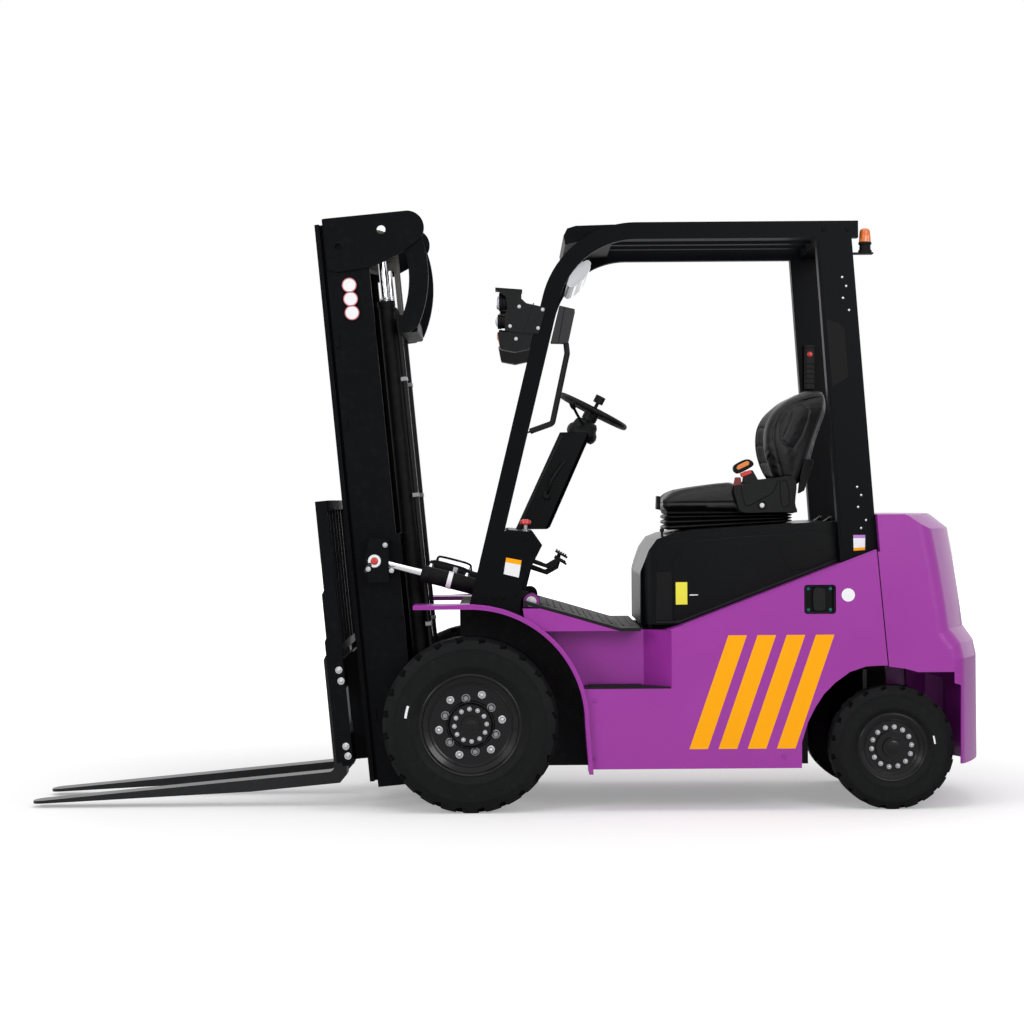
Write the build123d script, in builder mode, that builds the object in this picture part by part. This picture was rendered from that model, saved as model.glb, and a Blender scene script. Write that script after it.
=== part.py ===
from build123d import *
import os
from math import atan2, cos, degrees, hypot, pi, radians, sin, tan

# Battery forklift with a two-stage mast. Millimetres. Forks point to -X, the driver's left side is -Y.
# Lengths along the truck are counted from the front axle, heights from the floor. Mast lengths are
# counted from the mast's pivot, along and across its rails. Each left piece is made and mirrored.

# Wheels
wheelbase = 1595
front_tyre_radius = 332
front_tyre_width = 186
front_tyre_plane = 480
front_rim_radius = 196
front_lug_count = 24
rear_tyre_radius = 234
rear_tyre_width = 140
rear_tyre_plane = 460
rear_rim_radius = 132
rear_lug_count = 20
lug_groove = 26
lug_depth = 20
bead_width_step = 10
rim_wall = 12
running_clearance = 0.05
moving_gap = 6

# Mast: stance, rails and travel
mast_pivot_x = -110
mast_pivot_z = 300
forward_lean = 5.3
rail_bottom = -195
rail_top = 1997
rail_back = -105
rail_depth = 163
rail_outer_half = 355
rail_web = 12
rail_flange = 18
outer_flange_width = 48
inner_proud = 31
inner_rail_top = 1980
inner_rail_bottom = -173
inner_web_half = 302
inner_flange_out = 36
inner_flange_in = 36

# Fork carriage and forks
fork_face = 435
fork_length = 1180
fork_top = -126
fork_thick = 46
fork_wide = 122
fork_centre = 215
fork_tip_thick = 10
fork_shank_top = 330
bar_front = 388
bar_depth = 38
bar_height = 110
upper_bar = 255
lower_bar = -35
carriage_half = 488
backrest_top = 919
backrest_plate = 12

# Chassis, floor and fenders
body_half = 550
fender_half = 575
core_half = 378
chassis_bottom = 162
fender_radius = 448
fender_thick = 16
fender_front = -213
fender_foot_x = 462
fender_foot_z = 145
floor_height = 694
mat_thick = 12
step_height = 465
step_ceiling = 684
step_inner = 425
panel_front_low = 760
panel_front_top = 799
arch_front = 1248
arch_crown = 546
seam_low_x = 1579
seam_top_x = 1530
panel_rear_top = 983
deck_height = 1085
seam_gap = 4

# Counterweight
weight_rear = 1983
weight_top = 1116
weight_bottom = 173
weight_crown = 1224
weight_corner = 60
tow_low = 380
tow_height = 70
tow_width = 110
tow_depth = 90
tow_hole_in = 30
tow_hole_radius = 15
tow_hole_low = 320
tow_hole_top = 600
tow_spot_radius = 20

# Overhead guard
guard_half = 500
guard_tube = 50
guard_bar_height = 64
guard_top = 2229
leg_top_x = 352
leg_slope = 0.2445
leg_depth = 65
guard_bend = 365
roof_rear = 1481
pillar_thick = 60
pillar_front_top = 1321
pillar_rear_top = 1456
pillar_slope = 0.0687
pillar_rear_slope = 0.0745
roof_bar_width = 50
roof_bar_height = 26
roof_bar_pitch = 190

# Hood and seat
hood_half = 430
hood_front = 651
hood_rear = 1405
hood_skin = 14
hood_top = deck_height + 5
hinge_x = hood_rear + 6
hinge_z = hood_top + 10
hinge_radius = 8
hinge_pin = 4
hinge_y = 170
hinge_knuckle = 40
hinge_side_gap = 1
seat_front = 722
seat_half = 250
seat_corner = 110
bellows_height = 30
seat_foot = hood_top + bellows_height

# Steering
column_half = 75
column_chamfer = 14
wheel_centre_x = 487
wheel_centre_z = 1530
wheel_rim_radius = 150
wheel_lean = 27.7
kingpin_half = 345
kingpin_radius = 19
axle_beam_half = 36

# Cylinders
lift_x = -57
lift_y = 262
lift_barrel_radius = 31
lift_rod_radius = 16
lift_barrel_top = 1665
lift_rod_top = 1830
tilt_y = 400
tilt_mast_x = -363
tilt_mast_z = 951
tilt_chassis_x = 233
tilt_chassis_z = 793
tilt_barrel_radius = 32
tilt_rod_radius = 14
tilt_pin_radius = 14
lug_thick = 12

# Chains
pulley_radius = 65
pulley_y = 110
pulley_z = 1880
chain_wide = 24
chain_deep = 16

# Places that follow from the sizes above
lean = radians(forward_lean)
fork_tip_x = mast_pivot_x - (fork_face + fork_length) * cos(lean) - fork_top * sin(lean)
front_axle_x = -(fork_tip_x + weight_rear) / 2
truck = Location((front_axle_x, 0, 0))
mast = truck * Location((mast_pivot_x, 0, mast_pivot_z), (0, -forward_lean, 0))


def side(y, frame=truck):
    """Plane of the side view at y: local x runs rearward, local y up, and it faces the left side."""
    return Plane(frame * Plane(origin=(0, y, 0), x_dir=(1, 0, 0), z_dir=(0, -1, 0)).location)


def level(z, frame=truck):
    """Plane of the top view at height z: local x runs rearward, local y to the right side."""
    return Plane(frame * Location((0, 0, z)))


def across(x, frame=truck):
    """Plane across the truck at x: local x runs to the right side, local y up, and it faces rearward."""
    return Plane(frame * Plane(origin=(x, 0, 0), x_dir=(0, 1, 0), z_dir=(1, 0, 0)).location)


def save(piece, name):
    """Labels a finished piece and writes its file."""
    piece.label = name
    export_step(piece, f"parts/{name}.step")


def save_pair(piece, name):
    """Writes a left piece and its mirror image as two nodes."""
    save(piece, f"{name}_left")
    save(mirror(piece, about=Plane.XZ), f"{name}_right")


os.makedirs("parts", exist_ok=True)

# Front tyres: solid rubber with open shoulder lugs
front_axle = truck * Location((0, 0, front_tyre_radius))
with BuildPart() as front_tyre:
    half = front_tyre_width / 2
    bead = half - bead_width_step
    with BuildSketch(across(0, front_axle)) as tyre_section:
        with BuildLine():
            Polyline(
                (-front_tyre_plane - bead, front_rim_radius),
                (-front_tyre_plane - half, front_rim_radius + 24),
                (-front_tyre_plane - half, front_tyre_radius - 42),
                (-front_tyre_plane - half + 8, front_tyre_radius - 12),
                (-front_tyre_plane - half + 26, front_tyre_radius),
                (-front_tyre_plane + half - 26, front_tyre_radius),
                (-front_tyre_plane + half - 8, front_tyre_radius - 12),
                (-front_tyre_plane + half, front_tyre_radius - 42),
                (-front_tyre_plane + half, front_rim_radius + 24),
                (-front_tyre_plane + bead, front_rim_radius),
                close=True,
            )
        make_face()
    revolve(axis=Axis(front_axle.position, (0, 1, 0)))
    for shoulder, turn in ((half, 0), (-half, 180 / front_lug_count)):
        inward = 0.62 * half
        start = -front_tyre_plane + shoulder - (inward if shoulder > 0 else 0)
        with BuildSketch(side(start + inward, front_axle)):
            with PolarLocations(front_tyre_radius, front_lug_count, start_angle=turn):
                Rectangle(2 * lug_depth, lug_groove, rotation=18)
        extrude(amount=inward, mode=Mode.SUBTRACT)
save_pair(front_tyre.part, "front_tyre")

# Front rims: barrel, bolted disc, planetary hub and cap
hub_bore = 30
hub_radius = 92
hub_inner_y = 392
with BuildPart() as front_rim:
    outer = front_tyre_plane + front_tyre_width / 2 - bead_width_step
    inner = front_tyre_plane - front_tyre_width / 2 + bead_width_step
    with BuildSketch(across(0, front_axle)):
        with BuildLine():
            Polyline(
                (-inner, front_rim_radius),
                (-inner, front_rim_radius - rim_wall),
                (-outer + 60, front_rim_radius - rim_wall),
                (-outer + 50, 160),
                (-outer + 50, hub_radius),
                (-hub_inner_y, hub_radius),
                (-hub_inner_y, hub_bore + running_clearance),
                (-outer + 45, hub_bore + running_clearance),
                (-outer + 45, 0),
                (-outer + 6, 0),
                (-outer + 6, 35),
                (-outer + 18, 37),
                (-outer + 18, 78),
                (-outer + 36, 92),
                (-outer + 36, 150),
                (-outer + 26, front_rim_radius - rim_wall - 4),
                (-outer, front_rim_radius - rim_wall),
                (-outer, front_rim_radius),
                close=True,
            )
        make_face()
    revolve(axis=Axis(front_axle.position, (0, 1, 0)))
save_pair(front_rim.part, "front_rim")

# Rear tyres and rims
rear_axle = truck * Location((wheelbase, 0, rear_tyre_radius))
with BuildPart() as rear_tyre:
    half = rear_tyre_width / 2
    bead = half - bead_width_step
    with BuildSketch(across(0, rear_axle)):
        with BuildLine():
            Polyline(
                (-rear_tyre_plane - bead, rear_rim_radius),
                (-rear_tyre_plane - half, rear_rim_radius + 16),
                (-rear_tyre_plane - half, rear_tyre_radius - 30),
                (-rear_tyre_plane - half + 16, rear_tyre_radius),
                (-rear_tyre_plane + half - 16, rear_tyre_radius),
                (-rear_tyre_plane + half, rear_tyre_radius - 30),
                (-rear_tyre_plane + half, rear_rim_radius + 16),
                (-rear_tyre_plane + bead, rear_rim_radius),
                close=True,
            )
        make_face()
    revolve(axis=Axis(rear_axle.position, (0, 1, 0)))
    for shoulder, turn in ((half, 0), (-half, 180 / rear_lug_count)):
        inward = 0.6 * half
        start = -rear_tyre_plane + shoulder - (inward if shoulder > 0 else 0)
        with BuildSketch(side(start + inward, rear_axle)):
            with PolarLocations(rear_tyre_radius, rear_lug_count, start_angle=turn):
                Rectangle(1.4 * lug_depth, 0.8 * lug_groove, rotation=18)
        extrude(amount=inward, mode=Mode.SUBTRACT)
save_pair(rear_tyre.part, "rear_tyre")

spindle_radius = 20
with BuildPart() as rear_rim:
    outer = rear_tyre_plane + rear_tyre_width / 2 - bead_width_step
    inner = rear_tyre_plane - rear_tyre_width / 2 + bead_width_step
    with BuildSketch(across(0, rear_axle)):
        with BuildLine():
            Polyline(
                (-inner, rear_rim_radius),
                (-inner, rear_rim_radius - rim_wall),
                (-outer + 52, rear_rim_radius - rim_wall),
                (-outer + 44, 96),
                (-outer + 44, 58),
                (-rear_tyre_plane + 20, 58),
                (-rear_tyre_plane + 20, spindle_radius + running_clearance),
                (-outer + 30, spindle_radius + running_clearance),
                (-outer + 30, 0),
                (-outer + 4, 0),
                (-outer + 4, 36),
                (-outer + 20, 38),
                (-outer + 20, 60),
                (-outer + 32, 62),
                (-outer + 32, 96),
                (-outer + 20, rear_rim_radius - rim_wall),
                (-outer, rear_rim_radius - rim_wall),
                (-outer, rear_rim_radius),
                close=True,
            )
        make_face()
    revolve(axis=Axis(rear_axle.position, (0, 1, 0)))
save_pair(rear_rim.part, "rear_rim")

# Fender outline: flat over the tyre, round behind it, then down to the sill
fender_crown = front_tyre_radius + 5


def fender_region(inset):
    """Face under the fender's skin, inset from its outer surface, in the side view."""
    radius = fender_radius - inset
    crown = fender_crown + radius
    foot = fender_foot_x - inset
    with BuildSketch(mode=Mode.PRIVATE) as region:
        with BuildLine():
            Line((fender_front, crown), (0, crown))
            RadiusArc((0, crown), (radius, fender_crown), radius)
            Line((radius, fender_crown), (foot, fender_foot_z))
            Polyline((foot, fender_foot_z), (fender_front, fender_foot_z), (fender_front, crown))
        make_face()
    return region.sketch


# Front fenders with the tilt cylinders' clevis plates
lug_gap = 4
inner_lug = tilt_y - tilt_barrel_radius - lug_gap
outer_lug = tilt_y + tilt_barrel_radius + lug_gap
lug_radius = 30
with BuildSketch() as lug_shape:
    Circle(lug_radius)
    with Locations((0, -40)):
        Rectangle(2 * lug_radius, 80)
with BuildPart() as fender:
    with BuildSketch(side(-core_half)):
        add(fender_region(0))
        add(fender_region(fender_thick), mode=Mode.SUBTRACT)
        with Locations(((fender_front + fender_foot_x) / 2, fender_foot_z)):
            Rectangle(
                fender_foot_x - fender_front - 2 * fender_thick - 60, 4 * fender_thick, mode=Mode.SUBTRACT
            )
    extrude(amount=fender_half - core_half)
    with BuildSketch(side(-outer_lug)):
        with Locations((tilt_chassis_x, tilt_chassis_z)):
            add(lug_shape.sketch)
        add(fender_region(fender_thick / 2), mode=Mode.SUBTRACT)
    extrude(amount=lug_thick)
    with BuildSketch(side(-inner_lug)):
        with Locations((tilt_chassis_x, tilt_chassis_z)):
            Circle(tilt_pin_radius)
    extrude(amount=outer_lug + lug_thick + 6 - inner_lug)
save_pair(fender.part, "front_fender")

# Chassis core: solid under the floor, open battery bay, bulkhead behind the hood
bay_front = hood_front + 39
bay_rear = 1275
bay_floor = 185
bay_wall = 14
core_front = 175
nose_front = -40
nose_bottom = 545
nose_top = 785
well_front = 1290
well_roof = 520
bulkhead_front = 1415
floor_line = [(266, 782), (379, 750), (493, 716), (568, floor_height), (hood_front - moving_gap, floor_height)]
floor_under = [(x, z - mat_thick) for x, z in floor_line]
inner_top = guard_top - guard_bar_height

# Slot in which each tilt cylinder's end swings
slot_front = 80
slot_rear = tilt_chassis_x + tilt_barrel_radius + 12
slot_bottom = tilt_chassis_z - tilt_barrel_radius - 14
slot_x = (slot_front + slot_rear) / 2
slot_long = slot_rear - slot_front
slot_middle = tilt_y + 5
slot_width = 94
slot_wide = 112


def seam_x(z, gap=0):
    """Slanted seam between chassis and counterweight."""
    slope = (seam_top_x - seam_low_x) / (deck_height - arch_crown)
    return seam_low_x + slope * (z - arch_crown) + gap


def pillar_back(z):
    """Rear edge of the guard's pillars at height z."""
    return pillar_rear_top + pillar_rear_slope * (inner_top - z)


with BuildPart() as core:
    with BuildSketch(side(0)):
        Polygon(
            (core_front, chassis_bottom),
            (well_front, chassis_bottom),
            (well_front, well_roof),
            (seam_x(well_roof, -2 * seam_gap), well_roof),
            (seam_x(deck_height, -2 * seam_gap), deck_height),
            (bulkhead_front, deck_height),
            (bulkhead_front, floor_height + 40),
            (bay_rear + bay_wall, floor_height + 40),
            (bay_rear + bay_wall, floor_height - mat_thick),
            *reversed(floor_under),
            (210, nose_top),
            (nose_front, nose_top),
            (nose_front, nose_bottom),
            (core_front, nose_bottom - 40),
            align=None,
        )
    extrude(amount=core_half, both=True)
    with BuildSketch(level(bay_floor)):
        with Locations(((bay_front + bay_rear) / 2, 0)):
            Rectangle(bay_rear - bay_front, 2 * (core_half - bay_wall))
    extrude(amount=deck_height, mode=Mode.SUBTRACT)
    for hand in (-1, 1):
        with BuildSketch(level(slot_bottom)):
            with Locations((slot_x, hand * slot_middle)):
                Rectangle(slot_long, slot_width)
        extrude(amount=200, mode=Mode.SUBTRACT)
        with BuildSketch(side(hand * (inner_lug - lug_thick / 2))):
            with Locations((tilt_chassis_x, tilt_chassis_z)):
                add(lug_shape.sketch)
        extrude(amount=lug_thick / 2, both=True)
        for turn in (-1, 1):
            with BuildSketch(side(hand * hinge_y + turn * (hinge_knuckle + hinge_side_gap))):
                with Locations((hinge_x, hinge_z)):
                    Circle(hinge_radius)
                with Locations((bulkhead_front + 10, deck_height)):
                    Rectangle(14, 6)
                make_hull()
            extrude(amount=hinge_knuckle / 2, both=True)
        with BuildSketch(side(hand * hinge_y)):
            with Locations((hinge_x, hinge_z)):
                Circle(hinge_pin)
        extrude(amount=1.4 * hinge_knuckle, both=True)
save(core.part, "chassis_core")

# Drive battery, a plain block in its bay
battery_gap = 8
battery_height = 630
with BuildPart() as battery:
    with BuildSketch(level(bay_floor)):
        with Locations(((bay_front + bay_rear) / 2, 0)):
            Rectangle(bay_rear - bay_front - 2 * battery_gap, 2 * (core_half - bay_wall - battery_gap))
    extrude(amount=battery_height)
save(battery.part, "battery")

# Side panels: sill, step pocket, battery cover and front half of the rear arch
arch_line = [(1249, 260), (1272, 335), (1299, 388), (1333, 440), (1375, 482), (1432, 523), (1492, 543)]
pad_slant = 100
with BuildPart() as panel:
    with BuildSketch(side(-core_half)):
        Polygon(
            (300, chassis_bottom),
            (arch_front, chassis_bottom),
            *arch_line,
            (1545, arch_crown),
            (seam_x(arch_crown, -seam_gap), arch_crown),
            (seam_x(panel_rear_top, -seam_gap), panel_rear_top),
            (panel_front_top, 701),
            (panel_front_top - 60, floor_height - mat_thick),
            *reversed(floor_under),
            (200, 770),
            align=None,
        )
        add(fender_region(0), mode=Mode.SUBTRACT)
    extrude(amount=body_half - core_half)
    with BuildSketch(level(step_height)):
        Polygon(
            (200, -body_half - 10),
            (panel_front_low + 10, -body_half - 10),
            (panel_front_low, -body_half),
            (panel_front_low - pad_slant, -step_inner),
            (200, -step_inner),
            align=None,
        )
    extrude(amount=step_ceiling - step_height, mode=Mode.SUBTRACT)
    with BuildSketch(level(slot_bottom - 60)):
        with Locations((slot_x, -slot_middle)):
            Rectangle(slot_long, slot_wide)
    extrude(amount=200, mode=Mode.SUBTRACT)
    with BuildSketch(side(-body_half + 35)):
        with Locations((1321, 797)):
            RectangleRounded(120, 110, 12)
    extrude(amount=60, mode=Mode.SUBTRACT)
save_pair(panel.part, "side_panel")

# Step pads with ribs along them
pad_front = 436
pad_thick = 8
rib_pitch = 16
with BuildPart() as pad:
    with BuildSketch(level(step_height)):
        Polygon(
            (pad_front, -body_half),
            (panel_front_low - moving_gap, -body_half),
            (panel_front_low - pad_slant - moving_gap, -step_inner),
            (pad_front, -step_inner),
            align=None,
        )
    extrude(amount=pad_thick)
    with BuildSketch(level(step_height + pad_thick)):
        with Locations(((pad_front + panel_front_low - pad_slant) / 2, -(body_half + step_inner) / 2)):
            with GridLocations(0, rib_pitch, 1, 7):
                Rectangle(panel_front_low - pad_slant - pad_front - 20, rib_pitch / 2)
    extrude(amount=4)
pads = Compound([pad.part, mirror(pad.part, about=Plane.XZ)])
save(pads, "step_pads")

# Floor mat
with BuildPart() as mat:
    with BuildSketch(side(0)):
        Polygon((210, nose_top), *floor_under, *reversed(floor_line), (205, nose_top + mat_thick + 3), align=None)
    extrude(amount=body_half - 6, both=True)
    with BuildSketch(side(body_half)):
        add(fender_region(0))
    extrude(amount=2 * body_half, mode=Mode.SUBTRACT)
    with BuildSketch(level(slot_bottom - 60)):
        with Locations((slot_x, -slot_middle), (slot_x, slot_middle)):
            Rectangle(slot_long, slot_wide)
    extrude(amount=200, mode=Mode.SUBTRACT)
save(mat.part, "floor_mat")

# Counterweight: cast block with round rear corners, wheel wells and the tow pocket with its pin hole
well_radius = 308
weight_chin = 1715
well_middle = 410
web_front, web_long, web_half, web_low = 1640, 110, 28, 240
with BuildPart() as weight:
    with BuildSketch(side(0)) as weight_side:
        Polygon(
            (seam_x(arch_crown), arch_crown),
            (seam_x(arch_crown), well_roof),
            (weight_chin, well_roof),
            (weight_chin + 20, weight_bottom),
            (weight_rear, weight_bottom),
            (weight_rear, 570),
            (1971, 626),
            (1932, 682),
            (1921, 770),
            (1898, 929),
            (1875, 1060),
            (1804, weight_top),
            (seam_x(weight_top), weight_top),
            align=None,
        )
        fillet(weight_side.vertices().sort_by(Axis.Y)[-2:].sort_by(Axis.X)[-1:], 30)
    revolve(axis=Axis((truck * Location((weight_rear - weight_crown, 0, 0))).position, (0, 0, 1)))
    with BuildSketch(side(body_half)):
        Polygon(
            (seam_x(arch_crown), weight_bottom - 1),
            (seam_x(arch_crown), arch_crown),
            (seam_x(weight_top + 1), weight_top + 1),
            (weight_rear + 1, weight_top + 1),
            (weight_rear + 1, weight_bottom - 1),
            align=None,
        )
    extrude(amount=2 * body_half, mode=Mode.INTERSECT)
    flank_edges = [
        edge for edge in weight.edges()
        if abs(abs(edge.center().Y) - body_half) < 0.1 and edge.center().X > front_axle_x + 1700
        and weight_bottom + 1 < edge.center().Z < weight_top - 1
    ]
    fillet(flank_edges, weight_corner)
    for hand in (-1, 1):
        with BuildSketch(level(0)):
            with Locations((wheelbase, hand * kingpin_half)):
                Circle(well_radius)
        extrude(amount=well_roof, mode=Mode.SUBTRACT)
        with BuildSketch(side(hand * well_middle)):
            Polygon(
                (1500, 0),
                (1500, arch_crown),
                (1545, arch_crown),
                (1639, 534),
                (1714, 513),
                (1790, 490),
                (1853, 469),
                (1849, 0),
                align=None,
            )
        extrude(amount=well_radius, both=True, mode=Mode.SUBTRACT)
        with BuildSketch(side(hand * (guard_half + body_half) / 2)):
            Polygon(
                (1500, panel_rear_top - 8),
                (pillar_back(panel_rear_top - 8) + seam_gap, panel_rear_top - 8),
                (pillar_back(weight_top + 2) + seam_gap, weight_top + 2),
                (1500, weight_top + 2),
                align=None,
            )
        extrude(amount=(body_half - guard_half) / 2 + pillar_thick + moving_gap, both=True, mode=Mode.SUBTRACT)
    with BuildSketch(level(web_low)):
        with Locations((web_front + web_long / 2, 0)):
            Rectangle(web_long, 2 * web_half)
    extrude(amount=well_roof + 1 - web_low)
    with BuildSketch(level(tow_low)):
        with Locations((weight_rear - tow_depth / 2, 0)):
            Rectangle(tow_depth, tow_width)
    extrude(amount=tow_height, mode=Mode.SUBTRACT)
    with BuildSketch(level(tow_hole_low)):
        with Locations((weight_rear - tow_hole_in, 0)):
            Circle(tow_hole_radius)
    extrude(amount=tow_hole_top - tow_hole_low, mode=Mode.SUBTRACT)
    with BuildSketch(level(tow_hole_top)):
        with Locations((weight_rear - tow_hole_in, 0)):
            Circle(tow_spot_radius)
    extrude(amount=weight_top - tow_hole_top, mode=Mode.SUBTRACT)
save(weight.part, "counterweight")

# Overhead guard: bent rectangular tubes over both sides
leg_foot_z = fender_crown + fender_radius + 0.3
leg_foot_x = leg_top_x - leg_slope * (guard_top - leg_foot_z)
leg_step = leg_depth * hypot(1, leg_slope)
leg_angle = atan2(leg_slope, 1)
inner_bend_x = leg_top_x + leg_step - leg_slope * guard_bar_height


def bend_ends(x, z, radius):
    """Where a bend of this radius at the corner (x, z) leaves the slanted leg and meets the flat roof."""
    reach = radius * tan((pi / 2 - leg_angle) / 2)
    return (x - reach * sin(leg_angle), z - reach * cos(leg_angle)), (x + reach, z)


outer_low, outer_high = bend_ends(leg_top_x, guard_top, guard_bend)
inner_low, inner_high = bend_ends(inner_bend_x, inner_top, guard_bend - guard_bar_height)
with BuildPart() as rail:
    with BuildSketch(side(-guard_half + guard_tube)):
        with BuildLine():
            Line((leg_foot_x, leg_foot_z), outer_low)
            RadiusArc(outer_low, outer_high, guard_bend)
            Polyline(outer_high, (roof_rear, guard_top), (roof_rear, inner_top), inner_high)
            RadiusArc(inner_high, inner_low, guard_bar_height - guard_bend)
            Polyline(inner_low, (leg_foot_x + leg_step, leg_foot_z), (leg_foot_x, leg_foot_z))
        make_face()
    extrude(amount=guard_tube)
rails = Compound([rail.part, mirror(rail.part, about=Plane.XZ)])
save(rails, "guard_rails")

# Rear pillars, folded sheet boxes that stand on the side panels
panel_slope = (panel_rear_top - 701) / (seam_x(panel_rear_top, -seam_gap) - panel_front_top)
pillar_front_low = pillar_front_top + pillar_slope * (inner_top - 940)
pillar_rear_low = pillar_rear_top + pillar_rear_slope * (inner_top - 975)
with BuildPart() as pillar:
    with BuildSketch(side(-guard_half + pillar_thick)):
        Polygon(
            (pillar_front_top, inner_top),
            (pillar_rear_top, inner_top),
            (pillar_rear_low, 701 + panel_slope * (pillar_rear_low - panel_front_top)),
            (pillar_front_low, 701 + panel_slope * (pillar_front_low - panel_front_top)),
            align=None,
        )
    extrude(amount=pillar_thick)
pillars = Compound([pillar.part, mirror(pillar.part, about=Plane.XZ)])
save(pillars, "guard_pillars")

# Roof: cross beams and bars between the side tubes
roof_half = guard_half - guard_tube
front_beam_x = 372
with BuildPart() as roof:
    with BuildSketch(side(0)) as beam_side:
        Polygon(
            (front_beam_x, 2150),
            (front_beam_x - 6, 2185),
            (front_beam_x + 8, 2212),
            (front_beam_x + 40, 2222),
            (560, 2226),
            (560, 2180),
            (470, 2172),
            align=None,
        )
    extrude(amount=roof_half, both=True)
    with BuildSketch(side(0)):
        with Locations(((roof_rear - 70), guard_top - 30)):
            Rectangle(100, 56)
    extrude(amount=roof_half, both=True)
    with BuildSketch(level(guard_top - 32)):
        with Locations(((560 + roof_rear - 120) / 2, 0)):
            with GridLocations(0, roof_bar_pitch, 1, 4):
                Rectangle(roof_rear - 120 - 560, roof_bar_width)
    extrude(amount=roof_bar_height)
save(roof.part, "guard_roof")

# Cowl across the front of the driver's space, leg covers beside it
cowl_half = 350
cowl_top_front = (136, 1066)
with BuildPart() as cowl:
    with BuildSketch(side(0)) as cowl_side:
        Polygon(
            (17, nose_top + mat_thick + 3),
            cowl_top_front,
            (240, 1060),
            (276, 1008),
            (241, 940),
            (205, nose_top + mat_thick + 3),
            align=None,
        )
        fillet(cowl_side.vertices().sort_by(Axis.Y)[-2:], 14)
    extrude(amount=cowl_half, both=True)
save(cowl.part, "front_cowl")

cover_inner = 460
with BuildPart() as cover:
    with BuildSketch(side(-cover_inner)) as cover_side:
        Polygon(
            (leg_foot_x + leg_step, leg_foot_z),
            (leg_foot_x + leg_step + leg_slope * (1066 - leg_foot_z), 1066),
            (236, 1060),
            (276, 1008),
            (241, 940),
            (199, 864),
            (190, 740),
            (100, 740),
            align=None,
        )
        fillet(cover_side.vertices().sort_by(Axis.Y)[-1], 10)
        add(fender_region(0), mode=Mode.SUBTRACT)
    extrude(amount=guard_half - cover_inner)
covers = Compound([cover.part, mirror(cover.part, about=Plane.XZ)])
save(covers, "leg_covers")

# Headlamps: two round lamps and a signal lamp behind a folded bracket outside each leg
lamp_plate = 6
lamp_deep = 90
lamp_y = guard_half - lamp_deep / 2
with BuildPart() as lamp:
    with BuildSketch(side(-guard_half)) as plate_side:
        Polygon(
            (108, 1975), (204, 1968), (204, 1942), (222, 1925), (296, 1908), (268, 1808),
            (180, 1815), (140, 1822), (140, 1880), (150, 1905), (145, 1950), align=None,
        )
        fillet(plate_side.vertices().sort_by_distance((222, 1925))[0], 14)
    extrude(amount=lamp_plate)
    with BuildSketch(side(-guard_half + lamp_deep)):
        Polygon((105, 1985), (207, 1977), (207, 1967), (105, 1975), align=None)
    extrude(amount=lamp_deep + lamp_plate)
    for lamp_z, lamp_radius, lamp_front in ((1933, 34, 112), (1858, 26, 106)):
        lamp_axis = truck * Location((lamp_front, -lamp_y, lamp_z))
        with BuildSketch(side(0, lamp_axis)):
            with BuildLine():
                ThreePointArc((0, 0), (3, 0.6 * lamp_radius), (12, lamp_radius - 4))
                Polyline(
                    (12, lamp_radius - 4), (12, lamp_radius), (34, lamp_radius),
                    (62, 0.72 * lamp_radius), (70, 0.4 * lamp_radius), (70, 0), (0, 0),
                )
            make_face()
        revolve(axis=Axis(lamp_axis.position, (1, 0, 0)))
        with BuildSketch(side(-guard_half + lamp_deep / 2)):
            with Locations((lamp_front + 46, lamp_z)):
                Rectangle(18, 20)
        extrude(amount=lamp_deep / 2)
    with BuildSketch(side(-guard_half + lamp_deep - 6)) as low_side:
        Polygon(
            (112, 1816), (122, 1752), (180, 1741), (232, 1752), (246, 1816), align=None,
        )
        fillet(low_side.vertices().sort_by(Axis.Y)[:3], 8)
    extrude(amount=lamp_deep - 6)
lamps = Compound([lamp.part, mirror(lamp.part, about=Plane.XZ)])
save(lamps, "headlamps")

# Grab handle and display box on the left leg
handle_radius = 11
handle_y = -475
with BuildPart() as handle:
    with BuildSketch(side(handle_y + 22)):
        Polygon((349, 1914), (405, 1900), (378, 1772), (314, 1774), align=None)
    extrude(amount=44)
    with BuildLine(side(handle_y)) as handle_path:
        FilletPolyline((372, 1774), (376, 1735), (318, 1470), (233, 1440), radius=16)
    with BuildSketch(Plane(origin=handle_path.line @ 0, z_dir=handle_path.line % 0)):
        Circle(handle_radius)
    sweep(path=handle_path.line)
save(handle.part, "grab_handle")

# Beacon on its bracket behind the left pillar
beacon_x = 1510
beacon_foot_x = 1461
beacon_y = -470
with BuildPart() as beacon:
    with BuildSketch(level(2104)):
        with Locations(((beacon_foot_x + beacon_x + 28) / 2, beacon_y)):
            Rectangle(beacon_x + 28 - beacon_foot_x, 50)
    extrude(amount=4)
    with BuildSketch(side(beacon_y, truck * Location((beacon_x, 0, 0)))):
        Polygon(
            (0, 2106), (24, 2106), (24, 2116), (20, 2120), (20, 2138), (24, 2142), (24, 2148), (22, 2150),
            (19, 2190), (16, 2197), (9, 2201), (0, 2202), align=None,
        )
    revolve(axis=Axis((truck * Location((beacon_x, beacon_y, 0))).position, (0, 0, 1)))
save(beacon.part, "beacon")

# Reversing grip inside the right pillar
with BuildPart() as grip:
    with BuildSketch(level(1630)):
        with Locations((1396, 424)):
            RectangleRounded(44, 32, 10)
    extrude(amount=180)
save(grip.part, "rear_grip")

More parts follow.
